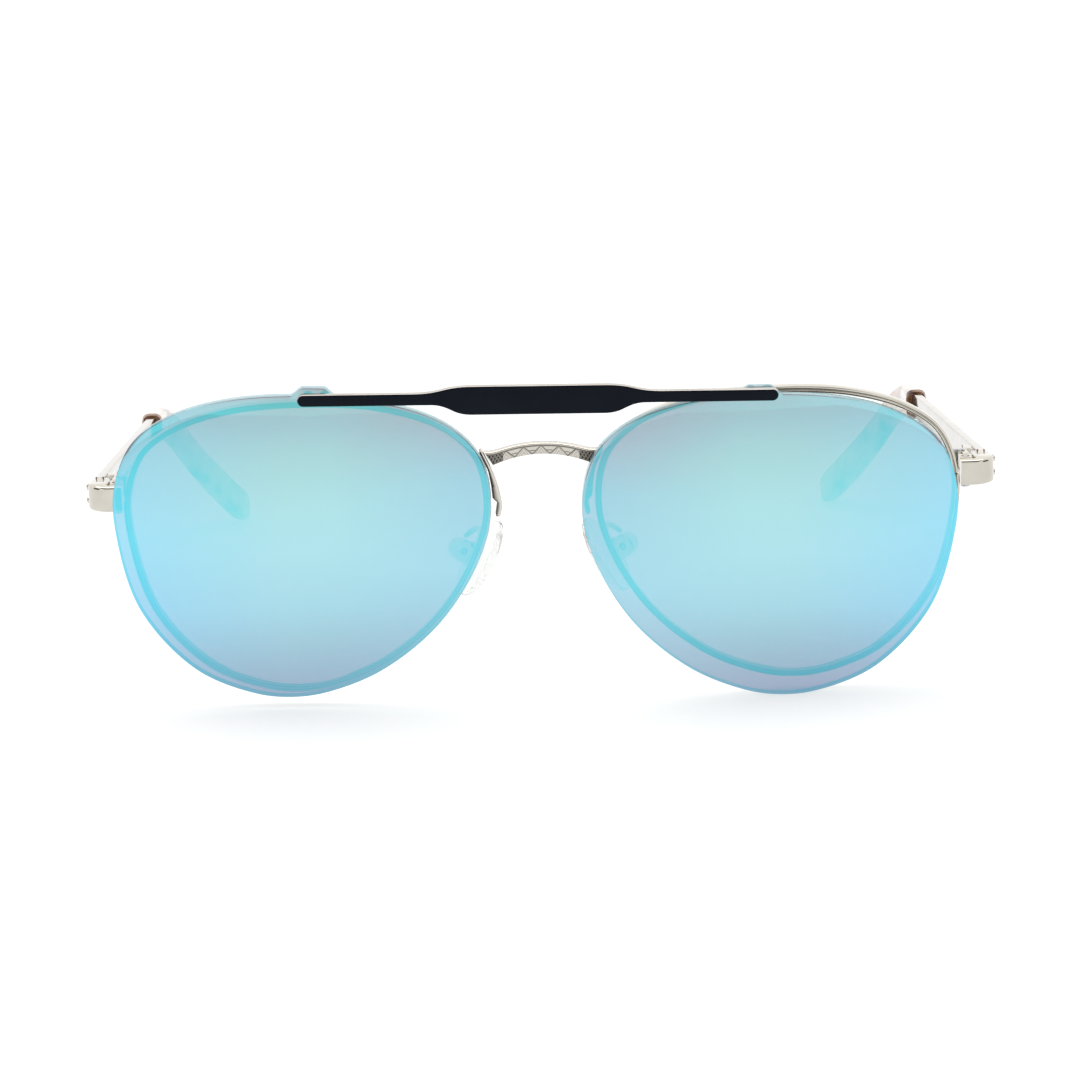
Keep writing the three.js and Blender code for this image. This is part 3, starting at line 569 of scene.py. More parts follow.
def lens_edge():
    """Polished rim of the clip-on lens, where the tint is seen end on."""
    s = Shader("clip_lens_edge")
    gloss = s.node("BsdfPrincipled", {
        "Base Color": s.mix(s.spread(s.noise(150, 2), 0.3, 0.7), (112, 150, 160), (132, 166, 174)),
        "Roughness": s.spread(s.noise(2400, 2), 0.3, 0.7, 0.1, 0.22),
        "Coat Weight": 0.5,
    })
    through = s.node("BsdfTransparent", {"Color": (*linear((186, 220, 226)), 1)})
    mixed = s.node("MixShader", {0: 0.62, 1: through.outputs[0], 2: gloss.outputs[0]})
    return s.finish(mixed.outputs[0])


def clear_lens():
    s = Shader("clear_lens")
    gloss = s.node("BsdfPrincipled", {
        "Base Color": s.mix(s.spread(s.noise(30, 1), 0.3, 0.7), (236, 244, 245), (228, 240, 241)),
        "Roughness": 0.02, "Metallic": 0.4,
    })
    through = s.node("BsdfTransparent", {"Color": (0.985, 0.995, 0.99, 1)})
    mixed = s.node("MixShader", {0: polish(s), 1: through.outputs[0], 2: gloss.outputs[0]})
    return s.finish(mixed.outputs[0])


def silicone():
    s = Shader("clear_silicone")
    cloud = s.noise(520, 2)
    shader = s.node("BsdfPrincipled", {
        "Base Color": s.mix(s.spread(cloud, 0.3, 0.7), (252, 252, 250), (246, 248, 247)),
        "Roughness": s.spread(s.noise(3000, 2), 0.3, 0.7, 0.05, 0.14),
        "Transmission Weight": 0.85, "IOR": 1.16,
        "Normal": s.bump(cloud, 0.00002, 0.15),
    })
    return s.finish(shader.outputs[0])


def acetate():
    """Layered beige, brown and blue-grey flakes under a polish."""
    s = Shader("mottled_acetate")
    broad = s.noise(150, 3, 0.55, stretch=(1.4, 0.8, 1.1))
    flake = s.noise(360, 4, 0.6, stretch=(1.2, 0.8, 1.0))
    colour = s.ramp(broad, [
        (0.30, (70, 48, 38)), (0.40, (118, 108, 112)), (0.48, (186, 160, 144)),
        (0.58, (214, 192, 176)), (0.68, (158, 146, 148)), (0.80, (84, 68, 64)),
    ])
    warm = s.ramp(flake, [(0.35, (96, 60, 38)), (0.5, (196, 170, 152)), (0.7, (218, 202, 190))])
    shader = s.node("BsdfPrincipled", {
        "Base Color": s.mix(s.spread(flake, 0.42, 0.62, 0.15, 0.6), colour, warm),
        "Roughness": s.spread(flake, 0.3, 0.7, 0.1, 0.18),
        "Subsurface Weight": 0.12, "Subsurface Scale": 0.0008,
        "Coat Weight": 0.8, "Coat Roughness": 0.04,
        "Normal": s.bump(flake, 0.00001, 0.12),
    })
    return s.finish(shader.outputs[0])


def amber_end():
    """Cut end of the acetate sleeve."""
    s = Shader("amber_acetate_end")
    shader = s.node("BsdfPrincipled", {
        "Base Color": s.mix(s.spread(s.noise(700, 3), 0.35, 0.65), (48, 28, 18), (120, 74, 30)),
        "Roughness": 0.25, "Coat Weight": 0.5,
    })
    return s.finish(shader.outputs[0])


def paper_floor():
    s = Shader("paper_floor")
    shader = s.node("BsdfPrincipled", {
        "Base Color": s.mix(s.spread(s.noise(900, 2), 0.3, 0.7), (178, 179, 180), (182, 183, 184)),
        "Roughness": 0.85, "Specular IOR Level": 0.1,
        "Emission Color": (0.97, 0.99, 1.0, 1), "Emission Strength": 0.62,
    })
    return s.finish(shader.outputs[0])


SILVER = metal("polished_silver", (206, 201, 191), (196, 190, 179), 0.04, 0.1)
# Darker copy of the polished silver, its grain running along the temple: painted shade that sets the temple
# blades dimmer than the rest of the frame's silver.
BLADE_SILVER = metal("silver_along_the_temple", (186, 181, 174), (170, 164, 157), 0.05, 0.11, (1, 0.08, 1))
STEEL = metal("turned_steel", (190, 190, 192), (168, 168, 171), 0.2, 0.34)
PIN_BLUE = pin_blue()
ENGRAVED = engraved_metal()
NAVY = navy_paint()
COAT = {side: mirror_coat_and_painted_reflection(side) for side in SIDES}
LENS_BACK = lens_back()
LENS_EDGE = lens_edge()
CLEAR = clear_lens()
SILICONE = silicone()
ACETATE = acetate()
AMBER = amber_end()

# ------------------------------------------------------------------ front

RIM_SPLIT_AT = outline_parameter(28.8, LUG_Z)


def rim(side):
    half = RIM_DEPTH / 2
    line, line_half, line_depth = 0.52, 0.1, 0.14
    contour = rounded([
        (0, -half), (0, half), (RIM_WIDTH, half), (RIM_WIDTH, half / 2),
        (RIM_WIDTH - RIM_GROOVE_DEPTH, 0), (RIM_WIDTH, -half / 2), (RIM_WIDTH, -half),
        (line + line_half, -half), (line, -half + line_depth), (line - line_half, -half),
    ], 0.2, 3)
    steps = 260
    share = RIM_SPLIT / OUTLINE.length
    stations = []
    for i in range(steps + 1):
        t = RIM_SPLIT_AT + share / 2 + (i / steps) * (1 - share)
        centre = outline_point(t, RIM_INSET)
        across = outline_point(t, RIM_INSET + 1) - centre
        centre.y = base_curve(centre.x, centre.z)
        stations.append((centre, across, Vector((0, 1, 0)), contour))
    matrix = on_side(FRONT, side) @ eye_frame(RIM_CENTRE_X)
    thing = finished(skin(swept(stations)), f"{side}_rim_wire", matrix, [SILVER])
    place(thing, "front", f"{side}_rim")


def domed(parameters, rows):
    """Rings on the base curve, each given as inset, scale, offset behind it, and upward rise by place."""
    rings = []
    for inset, scale, offset, rise in rows:
        ring = []
        for t in parameters:
            point = outline_point(t, inset)
            x, z = point.x * scale, point.z * scale
            z += rise(point.x, point.z) if rise else 0
            ring.append(Vector((x, base_curve(x, z) + offset, z)))
        rings.append(ring)
    return rings


FACE_SCALES = (0.12, 0.26, 0.4, 0.54, 0.68, 0.8, 0.9, 0.96)


def clear_lens_piece(side):
    face = RIM_INSET + RIM_WIDTH + GAP
    tip = RIM_INSET + RIM_WIDTH - CLEAR_LENS_SEAT
    half = CLEAR_LENS_THICKNESS / 2
    rows = [(face, s, -half, None) for s in FACE_SCALES] + [
        (face, 1, -half, None), (tip, 1, 0, None), (face, 1, half, None),
    ] + [(face, s, half, None) for s in reversed(FACE_SCALES)]
    parameters = [i / 180 for i in range(180)]
    matrix = on_side(FRONT, side) @ eye_frame(RIM_CENTRE_X)
    disc = skin(domed(parameters, rows), "fan", "fan")
    thing = finished(disc, f"{side}_clear_lens_disc", matrix, [CLEAR])
    place(thing, "front", f"{side}_clear_lens")


def bridge_edges(u):
    """Bottom and top points of the bridge at u, from -1 to 1."""
    t = (u + 1) / 2
    foot = BRIDGE_BOTTOM - BRIDGE_FOOT_DROP
    crown = BRIDGE_BOTTOM + BRIDGE_ARCH_RISE
    bottom = Vector((BRIDGE_FOOT_X * u, 0, foot * ((1 - t) ** 2 + t * t) + crown * 2 * t * (1 - t)))
    t = 1 - abs(u)
    weights = ((1 - t) ** 3, 3 * t * (1 - t) ** 2, 3 * t * t * (1 - t), t ** 3)
    x, z = (sum(w * p[k] for w, p in zip(weights, BRIDGE_SHOULDER)) for k in (0, 1))
    return bottom, Vector((math.copysign(x, u), 0, BRIDGE_TOP + z))


def engraving(x, v):
    """Depth in millimetres and darkness of the engraved front at x, and v from its bottom to its top."""
    border, foot, block_x = 0.8, 0.06, 5.9
    pitch, hatch_pitch, cross_pitch = 2.7, 0.36, 0.55

    def groove(value, width):
        return max(0.0, 1 - abs(value) / width)

    def hatch(value, spacing):
        return 0.5 - 0.5 * math.cos(2 * math.pi * value / spacing)

    top_line = groove(v - border, 0.09)
    if v > border:
        return 0.1 * top_line, top_line
    if v < foot:
        return 0.0, 0.0
    if abs(x) > block_x:
        cross = max(hatch(x + 1.3 * v, cross_pitch), hatch(x - 1.3 * v, cross_pitch))
        return 0.11 * (1 - 0.6 * cross) + 0.02, 1 - 0.35 * cross
    along = (x / pitch) % 1
    wave = abs(along - 0.5) * 2
    height = (v - foot) / (border - foot)
    zigzag = groove(height - wave, 0.17)
    under = height < wave
    slope = 0.8 if (along < 0.5) == under else -0.8
    fine = hatch(x + slope * height, hatch_pitch) * (0.75 if under else 0.4)
    petal = groove(abs(height - 0.32) - 0.14, 0.08) if wave < 0.42 and not under else 0.0
    cut = max(zigzag, 0.6 * fine, 0.8 * petal, top_line)
    return 0.08 * cut, 0.85 * cut


def with_tone(bm, tones):
    """Marks how dark each vertex of the bmesh is, for the engraved metal."""
    layer = bm.verts.layers.float.new("tone")
    bm.verts.ensure_lookup_table()
    for vert, tone in zip(bm.verts, tones):
        vert[layer] = tone
    return bm


def bridge():
    columns, rows = 420, 40
    edge, edge_depth = 0.16, 0.22  # rounding along the front's edges: share of the height, and millimetres
    back_edge_y = BRIDGE_BACK_Y - 0.2
    rings, tones = [], []
    for i in range(columns + 1):
        u = 2 * i / columns - 1
        bottom, top = bridge_edges(u)
        ring = []
        for k in range(rows + 1):
            v = k / rows
            point = bottom.lerp(top, v)
            depth, tone = engraving(point.x, v)
            lip = max(0, (edge - min(v, 1 - v)) / edge)
            point.y = BRIDGE_FRONT_Y + depth + edge_depth * (1 - math.sqrt(1 - lip * lip))
            ring.append(point)
            tones.append(tone)
        for v, y in ((1, back_edge_y), (0.9, BRIDGE_BACK_Y), (0.1, BRIDGE_BACK_Y), (0, back_edge_y)):
            point = bottom.lerp(top, v)
            point.y = y
            ring.append(point)
            tones.append(0.0)
        rings.append(ring)
    thing = finished(with_tone(skin(rings), tones), "engraved_bridge", FRONT, [ENGRAVED], angle=60)
    place(thing, "front", "bridge")


def bridge_plate(side):
    """Crescent with fine teeth cut along the edge that faces the rim."""
    nose = Path(spline([Vector((x, 0, z)) for x, z in (
        (9.0, 15.1), (7.75, 12.3), (6.75, 9.2), (6.25, 6.1), (6.6, 4.4))]))
    lens = Path([Vector((x, 0, z)) for x, z in (
        (9.6, 14.8), (8.45, 12.2), (8.2, 11.5), (7.85, 9.4), (7.7, 7.4), (7.0, 6.7), (7.35, 4.6))])
    steps, teeth, tooth = 272, 34, 0.16
    end_share, end_taper = 0.02, 0.35
    knurled_share = 0.55
    rings, tones = [], []
    for i in range(steps + 1):
        t = i / steps
        n, m = nose.point(t), lens.point(t)
        inward = (n - m).normalized()
        m = m + inward * tooth * (0.5 - 0.5 * math.cos(2 * math.pi * t * teeth))
        width = (n - m).length
        end = 1 - end_taper * max(0, 1 - min(t, 1 - t) / end_share)
        contour = rounded([(0, -PLATE_DEPTH), (width, -PLATE_DEPTH), (width, 0), (0, 0)], 0.22, 3)
        middle = (n + m) / 2
        ring = [middle + inward * (a - width / 2) * end + Vector((0, y, 0)) for a, y in contour]
        rings.append(ring)
        knurl = 0.95 if t < knurled_share else 0.7
        tones += [knurl * smoothstep(0.5 * width, 0.15 * width, a) for a, y in contour]
    matrix = on_side(FRONT, side)
    thing = finished(with_tone(skin(rings), tones), f"{side}_bridge_crescent", matrix, [ENGRAVED], angle=50)
    place(thing, "front", f"{side}_bridge_plate")


def end_piece(side):
    along = Vector((0, math.cos(PANTOSCOPIC_TILT), -math.sin(PANTOSCOPIC_TILT)))
    hinge_up = Vector((0, math.sin(PANTOSCOPIC_TILT), math.cos(PANTOSCOPIC_TILT)))
    corner = Vector((BLOCK_CENTRE_X - LUG_CORNER_RADIUS, LUG_PLATE_Y + LUG_CORNER_RADIUS, 0))
    up = Vector((0, 0, 1))
    ease, bevel = 0.5, 0.1
    cut_length = 6
    flat = rounded_rectangle(LUG_THICKNESS, LUG_HEIGHT, ease)
    stations = [(Vector((LUG_INNER_X, LUG_PLATE_Y, LUG_Z)), Vector((0, -1, 0)), up, flat)]
    steps = 18
    for i in range(steps + 1):
        share = i / steps
        angle = share * math.pi / 2
        across = Vector((math.sin(angle), -math.cos(angle), 0))
        centre = corner + across * LUG_CORNER_RADIUS
        block_z = HINGE.z + (HINGE.y - centre.y) * math.tan(PANTOSCOPIC_TILT)
        centre.z = LUG_Z + (block_z - LUG_Z) * share
        contour = rounded_rectangle(
            LUG_THICKNESS + (BLOCK_WIDTH - LUG_THICKNESS) * share, LUG_HEIGHT, ease)
        stations.append((centre, across, up.lerp(hinge_up, share).normalized(), contour))
    end = HINGE + along * BLOCK_END_Y
    end.x = BLOCK_CENTRE_X
    last = stations[-1]
    block = rounded_rectangle(BLOCK_WIDTH, LUG_HEIGHT, ease)
    lip = rounded_rectangle(BLOCK_WIDTH - 2 * bevel, LUG_HEIGHT - 2 * bevel, ease)
    stations += [(end - along * bevel, last[1], last[2], block), (end, last[1], last[2], lip)]
    matrix = on_side(FRONT, side)
    thing = finished(skin(swept(stations)), f"{side}_lug", matrix, [SILVER], angle=40)
    carve(thing, [
        rod(Vector((0, RIVET_Y, z)), Vector((cut_length, RIVET_Y, z)), RIVET_HOLE_RADIUS,
            matrix @ HINGE_FRAME)
        for z in (-RIVET_Z, RIVET_Z)
    ])
    place(thing, "front", f"{side}_end_piece")


def pad_arm(side):
    landing_z = PAD_BOX_ALONG + PAD_BOX_RADIUS + PAD_ARM_LANDING
    box_top = PAD_FRAME @ Vector((PAD_BOX_OUTWARD + 0.5, 0, landing_z))
    route = Path(spline([Vector(p) for p in (
        (10.2, 0.75, -1.5), (9.9, 2.4, -0.8), (9.7, 4.2, 0.4), (10.4, 6.0, 0.3))] + [box_top]))
    steps, segments = 60, 20
    end_share, end_taper = 0.03, 0.25
    circle = [
        (math.cos(a), math.sin(a)) for a in (2 * math.pi * k / segments for k in range(segments))
    ]
    stations = []
    across = Vector((1, 0, 0))
    for i in range(steps + 1):
        t = i / steps
        along = route.tangent(t)
        across = (across - along * across.dot(along)).normalized()
        radius = PAD_ARM_RADIUS * (1 - end_taper * max(0, 1 - min(t, 1 - t) / end_share))
        contour = [(radius * a, radius * u) for a, u in circle]
        stations.append((route.point(t), across.copy(), along.cross(across), contour))
    matrix = on_side(FRONT, side)
    thing = finished(skin(swept(stations)), f"{side}_pad_arm_wire", matrix, [SILVER], angle=50)
    place(thing, "front", f"{side}_pad_arm")


def nose_pad(side):
    """Clear pad: x is its thickness, y its width and z its length."""
    segments, levels = 72, 20
    narrowing = 0.14  # towards the top
    rounding, rounding_power = 0.28, 2.6  # of the edge, between the faces
    face_shares = (0.2, 0.42, 0.6, 0.69)
    outline = []
    for i in range(segments):
        angle = 2 * math.pi * i / segments
        taper = 1 - narrowing * math.sin(angle)
        outline.append((PAD_WIDTH / 2 * math.cos(angle) * taper, PAD_LENGTH / 2 * math.sin(angle)))
    half = PAD_THICKNESS / 2
    rings = []
    for inner in face_shares:
        rings.append([Vector((-half, y * inner, z * inner)) for y, z in outline])
    for k in range(levels + 1):
        x = -half * math.cos(math.pi * k / levels)
        scale = 1 - rounding * abs(x / half) ** rounding_power
        rings.append([Vector((x, y * scale, z * scale)) for y, z in outline])
    for inner in reversed(face_shares):
        rings.append([Vector((half, y * inner, z * inner)) for y, z in outline])
    matrix = on_side(FRONT, side) @ PAD_FRAME
    thing = finished(skin(rings, "fan", "fan"), f"{side}_silicone_pad", matrix, [SILICONE], angle=60)
    place(thing, f"{side}_pad", f"{side}_nose_pad")


# ------------------------------------------------------------------ temples


def temple_blade(side):
    centre_x = BLADE_INNER_X + BLADE_THICKNESS / 2
    line_half, line_depth = 0.14, 0.1  # fine line along the outer face
    steps, bevel = 24, 0.12
    core_step = 0.05  # length over which the blade's end steps down to its core

    def section(ease, inset=0.0):
        w, h = BLADE_THICKNESS / 2 - inset, BLADE_HEIGHT / 2 - inset
        return rounded([
            (-w, -h), (w, -h), (w, -line_half), (w - line_depth, 0),
            (w, line_half), (w, h), (-w, h), (-w, 0.3), (-w, 0), (-w, -0.3),
        ], ease, 4)

    plain = rounded([
        (-CORE_THICKNESS / 2, -CORE_HEIGHT / 2), (CORE_THICKNESS / 2, -CORE_HEIGHT / 2),
        (CORE_THICKNESS / 2, -0.3), (CORE_THICKNESS / 2, 0), (CORE_THICKNESS / 2, 0.3),
        (CORE_THICKNESS / 2, CORE_HEIGHT / 2), (-CORE_THICKNESS / 2, CORE_HEIGHT / 2),
        (-CORE_THICKNESS / 2, 0.3), (-CORE_THICKNESS / 2, 0), (-CORE_THICKNESS / 2, -0.3),
    ], 0.2, 4)
    start = BLADE_START + bevel
    run = BLADE_LENGTH - 2 * start
    places = [(BLADE_START, section(0.3, bevel))]
    places += [(start + run * k / steps, section(0.3)) for k in range(steps + 1)]
    places += [(BLADE_LENGTH, section(0.3, bevel)), (BLADE_LENGTH + core_step, plain),
               (BLADE_LENGTH + CORE_LENGTH, plain)]
    stations = [
        (Vector((centre_x, y, 0)), Vector((1, 0, 0)), Vector((0, 0, 1)), contour) for y, contour in places
    ]
    matrix = on_side(FRONT, side) @ HINGE_FRAME
    # The blade takes the darker silver copy: painted shade.
    thing = finished(skin(swept(stations)), f"{side}_temple_arm", matrix, [BLADE_SILVER], angle=40)
    place(thing, f"{side}_temple", f"{side}_temple_blade")


def tip_station(share):
    bend_length = TIP_BEND_RADIUS * TIP_BEND_ANGLE
    length = TIP_STRAIGHT_LENGTH + bend_length + TIP_DROP_LENGTH
    along = share * length
    in_bend = min(max(along - TIP_STRAIGHT_LENGTH, 0), bend_length)
    angle = in_bend / TIP_BEND_RADIUS
    after_bend = max(along - TIP_STRAIGHT_LENGTH - bend_length, 0)
    y = min(along, TIP_STRAIGHT_LENGTH) + TIP_BEND_RADIUS * math.sin(angle) + after_bend * math.cos(angle)
    z = -TIP_BEND_RADIUS * (1 - math.cos(angle)) - after_bend * math.sin(angle)
    in_share = min(max((along - TIP_STRAIGHT_LENGTH) / (length - TIP_STRAIGHT_LENGTH), 0), 1)
    x = BLADE_INNER_X + BLADE_THICKNESS / 2 - TIP_INWARD_SET * in_share ** 1.6
    return Vector((x, BLADE_LENGTH + GAP + y, z)), Vector((0, math.sin(angle), math.cos(angle)))


def temple_tip(side):
    """Sleeve and paddle of mottled acetate, hollow where the blade's core goes in."""
    steps, cap_steps = 72, 10
    corner, thinning = 1.4, 0.6
    neck, widening = 0.92, 0.24  # shares of TIP_HEIGHT: the sleeve's, and what the paddle adds to it
    cap_reach, cap_sweep, cap_flat = 2.95, math.radians(84), 0.24
    across = Vector((1, 0, 0))

    def section(share, scale=1.0):
        paddle = neck + widening * smoothstep(0.45, 0.9, share)
        width, height = TIP_THICKNESS - thinning * share, TIP_HEIGHT * paddle
        return rounded_rectangle(width * scale, height * scale, corner * scale, 6)

    start, start_up = tip_station(0)
    stations = [(start, across, start_up, section(0, 0.86))]
    for i in range(steps + 1):
        share = 0.006 + 0.994 * i / steps
        centre, up = tip_station(share)
        stations.append((centre, across, up, section(share)))
    end, end_up = tip_station(1)
    beyond = (end - tip_station(0.98)[0]).normalized()
    for k in range(1, cap_steps + 1):
        angle = k / cap_steps * cap_sweep
        scale = cap_flat + (1 - cap_flat) * math.cos(angle)
        stations.append((end + beyond * cap_reach * math.sin(angle), across, end_up, section(1, scale)))
    matrix = on_side(FRONT, side) @ HINGE_FRAME
    thing = finished(skin(swept(stations)), f"{side}_acetate_tip", matrix, [ACETATE, AMBER], angle=50)
    half_x, half_z = CORE_THICKNESS / 2 + CORE_CLEARANCE, CORE_HEIGHT / 2 + CORE_CLEARANCE
    socket = rounded([(-half_x, -half_z), (half_x, -half_z), (half_x, half_z), (-half_x, half_z)], 0.2, 3)
    x = BLADE_INNER_X + BLADE_THICKNESS / 2
    carve(thing, [finished(skin(swept([
        (Vector((x, y, 0)), across, Vector((0, 0, 1)), socket)
        for y in (BLADE_LENGTH - 1, BLADE_LENGTH + CORE_LENGTH + GAP)
    ])), "cutter", matrix, [])])
    front_end = (MM * (matrix @ start)).y + 0.0002
    for face in thing.data.polygons:
        face.material_index = 1 if face.center.y < front_end and face.normal.y < -0.6 else 0
    place(thing, f"{side}_temple", f"{side}_temple_tip")


# ------------------------------------------------------------------ clip-on


def tab_rise(x, z):
    shoulder = (TAB_BASE_WIDTH / 2 - abs(x - TAB_X)) / (TAB_BASE_WIDTH / 2 - TAB_TOP_WIDTH / 2)
    return TAB_RISE * smoothstep(0, 1, shoulder) if z > 0 else 0


def clip_lens(side):
    half = CLIP_LENS_THICKNESS / 2
    ease, skim = 0.14, 0.005
    around, near_tab = 216, 30
    tab_reach, tab_share = 6.2, 0.035  # either side of the tab's middle: in x, and in share of the outline
    tab_at = outline_parameter(TAB_X, LENS_OUTLINE[0][1])
    fine = [(tab_at + tab_share * k / near_tab) % 1 for k in range(-near_tab, near_tab + 1)]
    coarse = [
        t for t in (i / around for i in range(around))
        if abs(OUTLINE.point(t).x - TAB_X) > tab_reach or OUTLINE.point(t).z < 0
    ]
    parameters = sorted(coarse + fine)

    lifted_from = 0.9  # share of the way out at which the face starts to follow the tab
    hole_half_length = 5

    def raised(weight):
        return lambda x, z: tab_rise(x, z) * weight

    face = [(ease, s, s and raised(max(0, (s - lifted_from) / (1 - lifted_from)))) for s in FACE_SCALES]
    rows = [(inset, s, -half, rise) for inset, s, rise in face] + [
        (ease, 1, -half, tab_rise), (ease / 4, 1, -half + ease / 4, tab_rise),
        (skim, 1, -half + ease, tab_rise), (skim, 1, half - ease, tab_rise),
        (ease / 4, 1, half - ease / 4, tab_rise), (ease, 1, half, tab_rise),
    ] + [(inset, s, half, rise) for inset, s, rise in reversed(face)]
    base = on_side(CLIP, side)
    matrix = base @ eye_frame(CLIP_CENTRE_X)
    thing = finished(skin(domed(parameters, rows), "fan", "fan"), f"{side}_mirror_lens", matrix,
                     [COAT[side], LENS_BACK, LENS_EDGE], angle=50)
    holes = []
    sign = 1 if side == "left" else -1
    roll = sign * BAR_ROLL
    for pin_x in PIN_X:
        x = pin_x * math.cos(roll) + PIN_Z * math.sin(roll) + sign * BAR_SHIFT_X - CLIP_CENTRE_X
        z = PIN_Z * math.cos(roll) - pin_x * math.sin(roll)
        ends = [Vector((x, y, z)) for y in (-hole_half_length, hole_half_length)]
        holes.append(rod(*ends, PIN_HOLE_RADIUS, matrix))
    carve(thing, holes)
    for polygon in thing.data.polygons:
        facing = polygon.normal.y
        polygon.material_index = 0 if facing < -0.6 else 1 if facing > 0.6 else 2
    place(thing, "clip_on", f"{side}_clip_lens")


def bar_outline():
    """Closed outline of the bar in x and z, run anticlockwise as seen from the front."""
    end_radius = (BAR_TOP - BAR_BOTTOM) / 2
    end = Vector((BAR_HALF_LENGTH - end_radius, (BAR_TOP + BAR_BOTTOM) / 2))
    lower = (BAR_BOTTOM_SHOULDER - BAR_CENTRE_HALF) / 2
    upper = (BAR_TOP_SHOULDER - BAR_CENTRE_HALF) / 2
    half = [Vector((x, BAR_CENTRE_BOTTOM)) for x in (0, 3, 6, 8.5)]
    half += bezier(
        Vector((BAR_CENTRE_HALF, BAR_CENTRE_BOTTOM)), Vector((BAR_CENTRE_HALF + lower, BAR_CENTRE_BOTTOM)),
        Vector((BAR_BOTTOM_SHOULDER - lower, BAR_BOTTOM)), Vector((BAR_BOTTOM_SHOULDER, BAR_BOTTOM)), 20)
    half += [Vector((x, BAR_BOTTOM)) for x in (18, 22, 26, 30, 33)]
    half += [
        end + Vector((math.cos(a), math.sin(a))) * end_radius
        for a in (math.pi * (k / 16 - 0.5) for k in range(17))
    ]
    half += [Vector((x, BAR_TOP)) for x in (33, 30, 26, 22)]
    half += bezier(
        Vector((BAR_TOP_SHOULDER, BAR_TOP)), Vector((BAR_TOP_SHOULDER - upper, BAR_TOP)),
        Vector((BAR_CENTRE_HALF + upper, BAR_CENTRE_TOP)), Vector((BAR_CENTRE_HALF, BAR_CENTRE_TOP)), 20)
    half += [Vector((x, BAR_CENTRE_TOP)) for x in (8, 5, 2)]
    half.append(Vector((0, BAR_CENTRE_TOP)))
    return half + [Vector((-p.x, p.y)) for p in reversed(half[1:-1])]


def clip_bar():
    outline = bar_outline()
    count = len(outline)
    inward = []
    for i in range(count):
        along = (outline[(i + 1) % count] - outline[i - 1]).normalized()
        inward.append(Vector((-along.y, along.x)))
    matrix = CLIP @ Matrix.Translation((BAR_SHIFT_X, 0, 0)) @ turn(BAR_ROLL, "Y")
    ease, ease_steps = 0.4, 6
    front = BAR_BACK_Y - BAR_THICKNESS + CLIP_STANDOFF
    back = BAR_BACK_Y + CLIP_STANDOFF
    profile = []
    for k in range(ease_steps + 1):
        angle = math.pi / 2 * k / ease_steps
        profile.append((ease * (1 - math.sin(angle)), front + ease * (1 - math.cos(angle))))
    profile += [(inset, back + front - y) for inset, y in reversed(profile)]
    rings = [
        [Vector((p.x + n.x * inset, y, p.y + n.y * inset)) for p, n in zip(outline, inward)]
        for inset, y in profile
    ]
    # The bar's edges take the darker silver copy set for the temple blades.
    thing = finished(skin(rings), "navy_bar", matrix, [NAVY, BLADE_SILVER], angle=40)
    for polygon in thing.data.polygons:
        polygon.material_index = 1 if abs(polygon.normal.y) < 0.5 else 0
    place(thing, "clip_on", "clip_bar")


# ------------------------------------------------------------------ small hardware


def eased_copy(node, body, material, ease=0.05):
    """Piece with the node's own shape and its sharp edges eased."""
    bm = bmesh.new()
    bm.from_mesh(frame["nodes"][node].data)
    bmesh.ops.remove_doubles(bm, verts=bm.verts, dist=0.000002)
    bmesh.ops.dissolve_limit(bm, angle_limit=math.radians(1), verts=bm.verts, edges=bm.edges)
    sharp = [e for e in bm.edges if len(e.link_faces) == 2 and e.calc_face_angle() > math.radians(40)]
    bmesh.ops.bevel(bm, geom=sharp, offset=ease * MM, offset_type="OFFSET", segments=2, profile=0.5,
                    affect="EDGES", clamp_overlap=True)
    bm.transform(Matrix.Scale(1 / MM, 4))
    thing = finished(bm, f"{node}_finished", Matrix.Identity(4), [material], angle=38)
    place(thing, body, node)


bridge()
clip_bar()
for side in SIDES:
    rim(side)
    clear_lens_piece(side)
    bridge_plate(side)
    end_piece(side)
    pad_arm(side)
    nose_pad(side)
    temple_blade(side)
    temple_tip(side)
    clip_lens(side)
    for name in ("upper_closing_block", "lower_closing_block", "pad_box", "front_hinge_leaf",
                 "upper_hinge_rivet", "lower_hinge_rivet"):
        eased_copy(f"{side}_{name}", "front", SILVER)
    for name in ("closing_screw", "pad_screw", "hinge_screw"):
        eased_copy(f"{side}_{name}", "front", STEEL, 0.03)
    eased_copy(f"{side}_pad_post", f"{side}_pad", SILVER)
    eased_copy(f"{side}_temple_hinge_leaf", f"{side}_temple", SILVER)
    for name in ("inner_clip_pin", "outer_clip_pin", "inner_clip_magnet", "outer_clip_magnet"):
        eased_copy(f"{side}_{name}", "clip_on", PIN_BLUE)

# ------------------------------------------------------------------ floor, light and camera

floor_mesh = bpy.data.meshes.new("paper_floor")
reach = 6.0
floor_mesh.from_pydata(
    [(-reach, -reach, 0), (reach, -reach, 0), (reach, reach, 0), (-reach, reach, 0)], [], [(0, 1, 2, 3)])
floor_mesh.materials.append(paper_floor())
floor = bpy.data.objects.new("paper_floor", floor_mesh)
floor.location.z = -0.00005
bpy.context.scene.collection.objects.link(floor)

world = bpy.data.worlds.new("studio")
world.use_nodes = True
bpy.context.scene.world = world
nodes, links = world.node_tree.nodes, world.node_tree.links
background = nodes["Background"]
direction = nodes.new("ShaderNodeTexCoord").outputs["Generated"]


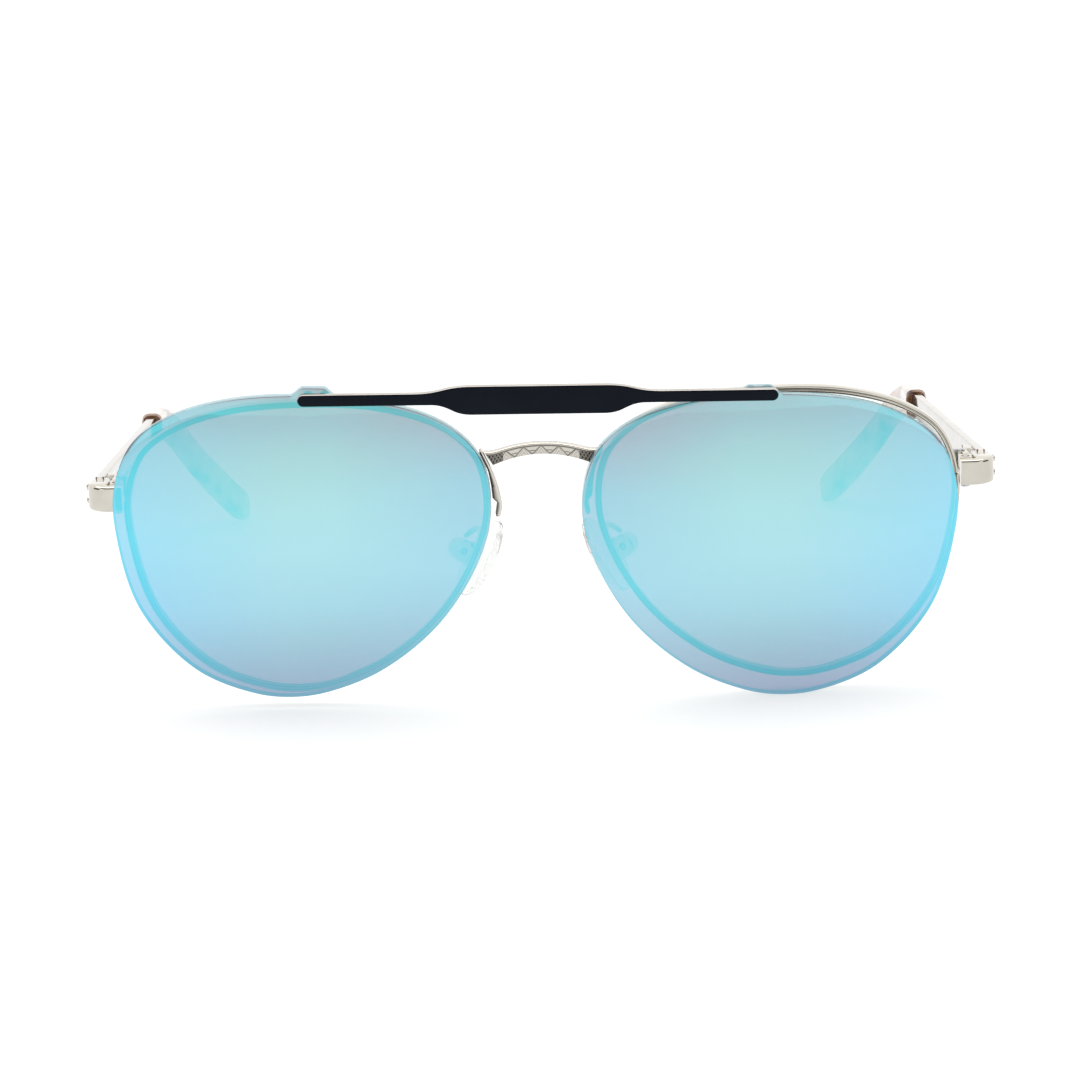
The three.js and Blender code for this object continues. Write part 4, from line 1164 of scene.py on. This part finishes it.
def sky_patch(toward, start, end, value, strength):
    """Lowers the strength of the sky to the value near a direction, from one cosine to another."""
    facing = nodes.new("ShaderNodeVectorMath")
    facing.operation = "DOT_PRODUCT"
    facing.inputs[1].default_value = Vector(toward).normalized()
    links.new(direction, facing.inputs[0])
    patch = nodes.new("ShaderNodeMapRange")
    patch.interpolation_type = "SMOOTHSTEP"
    patch.inputs["From Min"].default_value = start
    patch.inputs["From Max"].default_value = end
    patch.inputs["To Min"].default_value = 1.0
    patch.inputs["To Max"].default_value = value
    links.new(facing.outputs["Value"], patch.inputs["Value"])
    times = nodes.new("ShaderNodeMath")
    times.operation = "MULTIPLY"
    links.new(patch.outputs["Result"], times.inputs[0])
    if isinstance(strength, float):
        times.inputs[1].default_value = strength
    else:
        links.new(strength, times.inputs[1])
    return times.outputs[0]


sky = sky_patch((0, -0.5, 1), 0.8, 0.9, 0.08, 1.24)
sky = sky_patch((1, -0.45, 0.25), 0.9, 0.95, 0.1, sky)
sky = sky_patch((-1, -0.45, 0.25), 0.9, 0.95, 0.1, sky)
sky = sky_patch((0, -1, 0.7), 0.86, 0.99, 0.75, sky)
sky = sky_patch((0, -1, 0.05), 0.93, 0.985, 0.91, sky)
links.new(sky, background.inputs["Strength"])
background.inputs["Color"].default_value = (1.0, 0.995, 0.985, 1)

softbox = bpy.data.lights.new("softbox", "AREA")
softbox.shape = "RECTANGLE"
softbox.size, softbox.size_y = 1.1, 0.7
softbox.energy = 5.0
lamp = bpy.data.objects.new("softbox", softbox)
lamp.location = (-0.1, 0.15, 1.0)
lamp.rotation_euler = (math.radians(10), math.radians(-6), 0)
bpy.context.scene.collection.objects.link(lamp)

AZIMUTH = math.radians(0.517)
ELEVATION = math.radians(13.265)
DISTANCE = 0.55
ROLL = math.radians(1.695)
TARGET = Vector((-0.00057, -0.065, 0.02568))
forward = Vector((
    math.sin(AZIMUTH) * math.cos(ELEVATION), math.cos(AZIMUTH) * math.cos(ELEVATION), -math.sin(ELEVATION)))
level = Vector((math.cos(AZIMUTH), -math.sin(AZIMUTH), 0))
upright = level.cross(forward)
right = level * math.cos(ROLL) - upright * math.sin(ROLL)
up = level * math.sin(ROLL) + upright * math.cos(ROLL)
lens_camera = bpy.data.cameras.new("camera")
lens_camera.sensor_width = 36
lens_camera.lens = 118.73
lens_camera.clip_end = 20
camera = bpy.data.objects.new("camera", lens_camera)
camera.matrix_world = Matrix.Translation(TARGET - forward * DISTANCE) @ Matrix((
    (right.x, up.x, -forward.x, 0), (right.y, up.y, -forward.y, 0), (right.z, up.z, -forward.z, 0),
    (0, 0, 0, 1)))
bpy.context.scene.collection.objects.link(camera)
bpy.context.scene.camera = camera
bpy.context.scene.view_settings.view_transform = "Standard"
bpy.context.scene.view_settings.look = "None"
